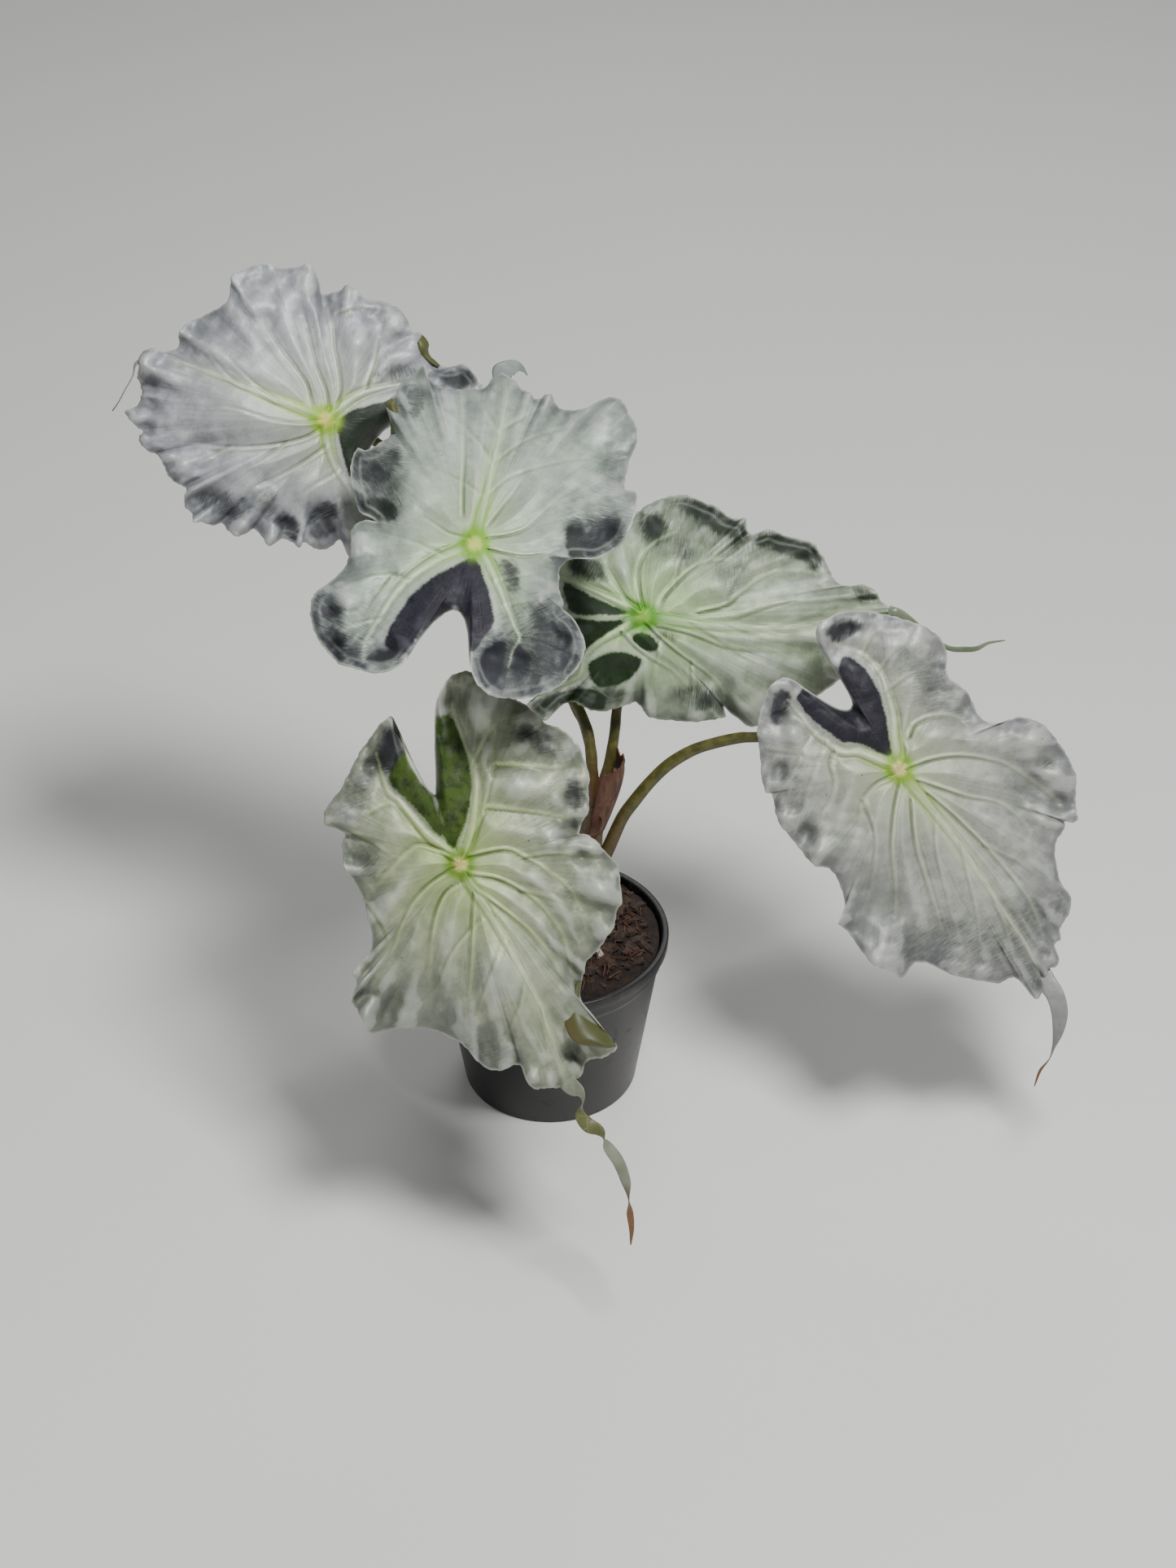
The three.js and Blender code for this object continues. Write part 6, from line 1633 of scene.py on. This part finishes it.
def blade_marks(ground, heights, normal, rays, seed):
    """The attributes that the two skins read, each a number per place: what is painted on veins,
    hub, rim and zones, the relief, and the coordinates that the fibres follow."""
    x, y, to_rim = ground["x"], ground["y"], ground["rim"]
    ribs, run, ran = ground["ribs"]
    middle, middle_run, middle_ran = ground["midrib"]
    veins, vein_run, _ = ground["sides"]
    fine, fine_run, _ = ground["creases"]
    rib, lateral, taper = vein_shares(ground)
    off = off_midrib(ground)
    veined = np.clip(np.maximum(rib, lateral), 0, 1)
    from_hub = np.hypot(x, y)
    wedge = hill(middle_ran, WEDGE_LENGTH) * hill(middle, WEDGE_WIDTH)
    beside = hill(ran, np.where(off, 18, 38)) * hill(np.abs(ribs) - 2.1 * taper, 1.7)
    sharp = np.where(off, 1, 0.5 * (1 - 0.7 * middle_run))
    groove = hill(vein_run, 0.5) * hill(veins + 0.7, 0.65)
    groove = np.maximum(groove, hill(run, 0.6) * hill(np.abs(ribs) - 1.9 * taper, 0.55))
    groove = np.maximum(groove, 0.5 * hill(fine_run, 0.6) * hill(fine + 0.5, 0.7))
    bare = ground["bare"] * (1 - 0.9 * veined)
    second_line = hill(to_rim - SECOND_LINE - 1.1 * wander(x, y, 25, seed + 8), 0.55)
    small = (heights - blurred(heights, 2, 5)).reshape(-1)
    large = (heights - blurred(heights, 6, 14)).reshape(-1)
    level = 0.36 * np.tanh(small / 0.4) + 0.12 * np.tanh(large / 2.5)
    facing = normal @ unit(normal.sum(axis=0))
    ray_x, ray_y = (on_rings(row) for row in rays)
    return {
        "rib": np.clip(0.8 * rib * sharp + 0.95 * lateral, 0, 1) * (1 - 0.75 * wedge),
        "midrib": hill(middle, 6 - 4.5 * middle_run) * (1 - 0.65 * middle_run),
        "crease": groove,
        "flank": np.maximum(wedge, beside),
        "hub": hill(from_hub, HUB_SPOT),
        "heart": 0.7 * hill(from_hub, HEART_REACH) + 0.5 * hill(ribs, 9) * (1 - run),
        # outer: the margin band, partly the leaf's own greyer margin, partly painted shade.
        "outer": np.clip(np.exp(-to_rim / OUTER_BAND) * (0.9 + 0.5 * wander(x, y, 15, seed + 7)), 0, 1),
        "window": bare,
        "moss": ground["moss"],
        "rimline": hill(to_rim, 0.6),
        "second": second_line * np.clip(0.12 + 0.8 * ground["dusk"] - 0.6 * bare, 0, 1),
        "halo": ground["halo"] * (1 - bare) * (1 - np.clip(rib, 0, 1)),
        "dusk": ground["dusk"] * (1 - 0.7 * veined),
        # tilt, raised and swell drive the skin's painted shade and painted highlight.
        "tilt": np.clip(1 - facing, 0, 1),
        "raised": np.concatenate(([0.5], 0.5 + level)),
        "swell": 0.5 + 0.5 * np.tanh(ground["swell"] / 5),
        "ray_x": ray_x,
        "ray_y": ray_y,
        "reach": from_hub * MM,
        "along": ran * MM,
        "across": ribs * MM,
    }


def underside(top, normal, ground, count):
    """The under face: each point of the upper one moved back along its smoothed normal by the
    blade's thickness, with more under ribs, side veins and the hub."""
    rib, lateral, taper = vein_shares(ground)
    from_hub = np.hypot(ground["x"], ground["y"])
    under = BLADE_THICKNESS + RIB_THICKNESS * rib * taper + 0.4 * lateral
    under = under + BOSS_THICKNESS * hill(from_hub, BOSS_RADIUS)
    away = np.stack([blurred(normal[1:, k].reshape(RING_COUNT, count), 3, 9) for k in range(3)], -1)
    away = np.vstack((normal[:1], away.reshape(-1, 3)))
    near = hill(from_hub, 10)[:, None]
    away = unit(unit(away) * (1 - near) + normal[:1] * near)
    return top - away * under[:, None] * MM


def blade_part(leaf, seed):
    """The blade: two faces of the same grid and a strip round the rim, with their attributes."""
    count = COLUMNS_PER_KNOT * len(leaf["margin"])
    hub = np.asarray(leaf["hub"], float)
    edge, soft = ordered_margin(leaf, count, seed)
    shares = ((np.arange(1, RING_COUNT + 1) / RING_COUNT) ** 0.9)[:, None, None]
    places = hub + shares * (soft - hub) + shares**4 * (edge - soft)
    places = np.vstack((hub[None], places.reshape(-1, 2)))
    share = np.concatenate(([0.0], np.repeat(shares[:, 0, 0], count)))
    lift = [on_rings(row) for row in margin_lift(leaf, count, seed)]
    ground = leaf_ground(leaf, places, seed)
    depth = face_depth(leaf, ground, share, lift, seed)
    top = seen(places, depth)
    normal = blade_normals(top, count)
    heights = depth[1:].reshape(RING_COUNT, count)
    marks = blade_marks(ground, heights, normal, rim_rays(soft), seed)
    bottom = underside(top, normal, ground, count)
    size = len(top)
    faces = grid_faces(RING_COUNT, count, 0) + grid_faces(RING_COUNT, count, size, flip=True)
    rim = 1 + (RING_COUNT - 1) * count
    k = np.arange(count)
    following = (k + 1) % count
    faces += np.stack((rim + k, rim + following, size + rim + following, size + rim + k), 1).tolist()
    half = RING_COUNT * count
    kinds = np.repeat((0, 1, 0), (half, half, count))
    both = {key: np.concatenate((value, value)) for key, value in marks.items()}
    return part_of(np.vstack((top, bottom)), faces, kinds, **both)


def drip_part(leaf, seed):
    """The drip tip: a thin strip that hangs from the blade's tip and turns about its own length."""
    drip = leaf["drip"]
    lift = [row[:1] for row in margin_lift(leaf, COLUMNS_PER_KNOT * len(leaf["margin"]), seed)]
    ground = leaf_ground(leaf, np.asarray(leaf["margin"][:1], float), seed)
    tip = face_depth(leaf, ground, np.ones(1), lift, seed)[0]
    rows = 12 * len(drip["path"])
    path = curve_through(drip["path"], rows)
    centres = seen(path[:, :2], tip - BLADE_THICKNESS / 2 + path[:, 2])
    widths = curve_through(np.array(drip["widths"])[:, None], rows)[:, 0]
    twist = curve_through(np.array(drip["twist"])[:, None], rows)[:, 0]
    half = np.maximum(widths, 0.35) / 2 * MM
    withered = np.clip((np.linspace(0, 1, rows) - drip["withered"]) / 0.12, 0, 1)
    points, faces, _, marks = tube(centres, half, DRIP_SIDES, flat=DRIP_THICKNESS / 2 * MM,
                                   turn=twist + np.pi, outer=0.6, raised=0.5, swell=0.5, withered=withered)
    side = np.array([(face[0] % DRIP_SIDES) >= DRIP_SIDES // 2 for face in faces], int)
    return points, faces, side, marks


def flap_part(leaf, fold, free, lift, seed):
    """A piece of margin folded over towards the camera: a curved sheet from the fold, which is on
    the margin, to its free edge, with its underside outwards."""
    knots = leaf["margin"]
    hinges = [COLUMNS_PER_KNOT * knots.index(p) for p in fold]
    lifts = [row[hinges] for row in margin_lift(leaf, COLUMNS_PER_KNOT * len(knots), seed)]
    ground = leaf_ground(leaf, np.asarray(fold, float), seed)
    depths = face_depth(leaf, ground, np.ones(len(fold)), lifts, seed)
    hinge = curve_through(np.column_stack((fold, depths)), FLAP_ROWS)
    edge = curve_through(np.column_stack((free, depths + lift)), FLAP_ROWS)
    out = np.linspace(0, 1, FLAP_STEPS)[:, None]
    place = hinge + (edge - hinge) * out[..., None]
    wave = 0.5 * np.sin(np.linspace(0, 9, FLAP_ROWS)) * out
    depth = place[..., 2] + lift * 0.9 * np.sin(np.pi * out) + wave
    sheets = [seen(place[..., :2], (depth - back).reshape(-1)) for back in (0.0, FLAP_THICKNESS)]
    free_edge = np.tile(np.repeat(out[:, 0] ** 6, FLAP_ROWS), 2)
    return part_of(np.concatenate(sheets), shell_faces(FLAP_STEPS, FLAP_ROWS), 1,
                   rimline=free_edge, fold=1, raised=0.5, swell=0.5)


def make_leaf(letter, leaf, skin, back, seed):
    """One leaf: blade, drip tip and folds in one piece."""
    parts = [blade_part(leaf, seed), drip_part(leaf, seed)]
    for fold, free, lift in leaf["folds"]:
        parts.append(flap_part(leaf, fold, free, lift, seed))
    return finish_piece("leaf_" + letter, parts, (skin, back), ("blade_" + letter,))


leaf_back = leaf_back_material()
for number, (letter, leaf) in enumerate(LEAVES.items()):
    skin = leaf_face_material("leaf_silver_" + letter, *LEAF_COLOURS[letter])
    make_leaf(letter, leaf, skin, leaf_back, LEAF_SEED + 10 * number)


# Studio
# A plain pale floor under soft light: a key light high above and in front, weaker and broader ones
# at the left, at the right and behind, and a faint even surround.

FLOOR_SIZE = 12.0
LIGHT_AIM = (0, 0, 0.2)
LIGHTS = (
    ("key", (0.4, -0.55, 1.7), 0.4, 32.0),
    ("left", (-0.9, -1.3, 0.9), 1.0, 4.0),
    ("right", (1.5, -0.1, 0.9), 1.2, 2.5),
    ("back", (0.2, 1.4, 1.5), 1.0, 9.0),
)
SURROUND = "#e4e6ea"
SURROUND_STRENGTH = 0.19


def floor_material():
    """Plain pale floor, very faintly uneven."""
    material, shade, place, add = new_material("pale_floor")
    base = add("mix", add("noise", place, 3, 2, 0.55), "#e2e1de", "#e7e6e3")
    shade({"Base Color": base, "Roughness": 0.85})
    return material


half = FLOOR_SIZE / 2
floor_corners = [(-half, -half, 0), (half, -half, 0), (half, half, 0), (-half, half, 0)]
floor_mesh = bpy.data.meshes.new("floor")
floor_mesh.from_pydata(floor_corners, [], [(0, 1, 2, 3)])
floor_mesh.materials.append(floor_material())
floor = bpy.data.objects.new("floor", floor_mesh)
bpy.context.scene.collection.objects.link(floor)

for name, place, size, power in LIGHTS:
    light_data = bpy.data.lights.new(name, "AREA")
    light_data.shape = "SQUARE"
    light_data.size = size
    light_data.energy = power
    light = bpy.data.objects.new(name, light_data)
    light.location = place
    light.rotation_euler = (Vector(LIGHT_AIM) - Vector(place)).to_track_quat("-Z", "Y").to_euler()
    bpy.context.scene.collection.objects.link(light)

world = bpy.data.worlds.new("studio")
world.use_nodes = True
surround = world.node_tree.nodes["Background"]
surround.inputs["Color"].default_value = colour(SURROUND)
surround.inputs["Strength"].default_value = SURROUND_STRENGTH
bpy.context.scene.world = world
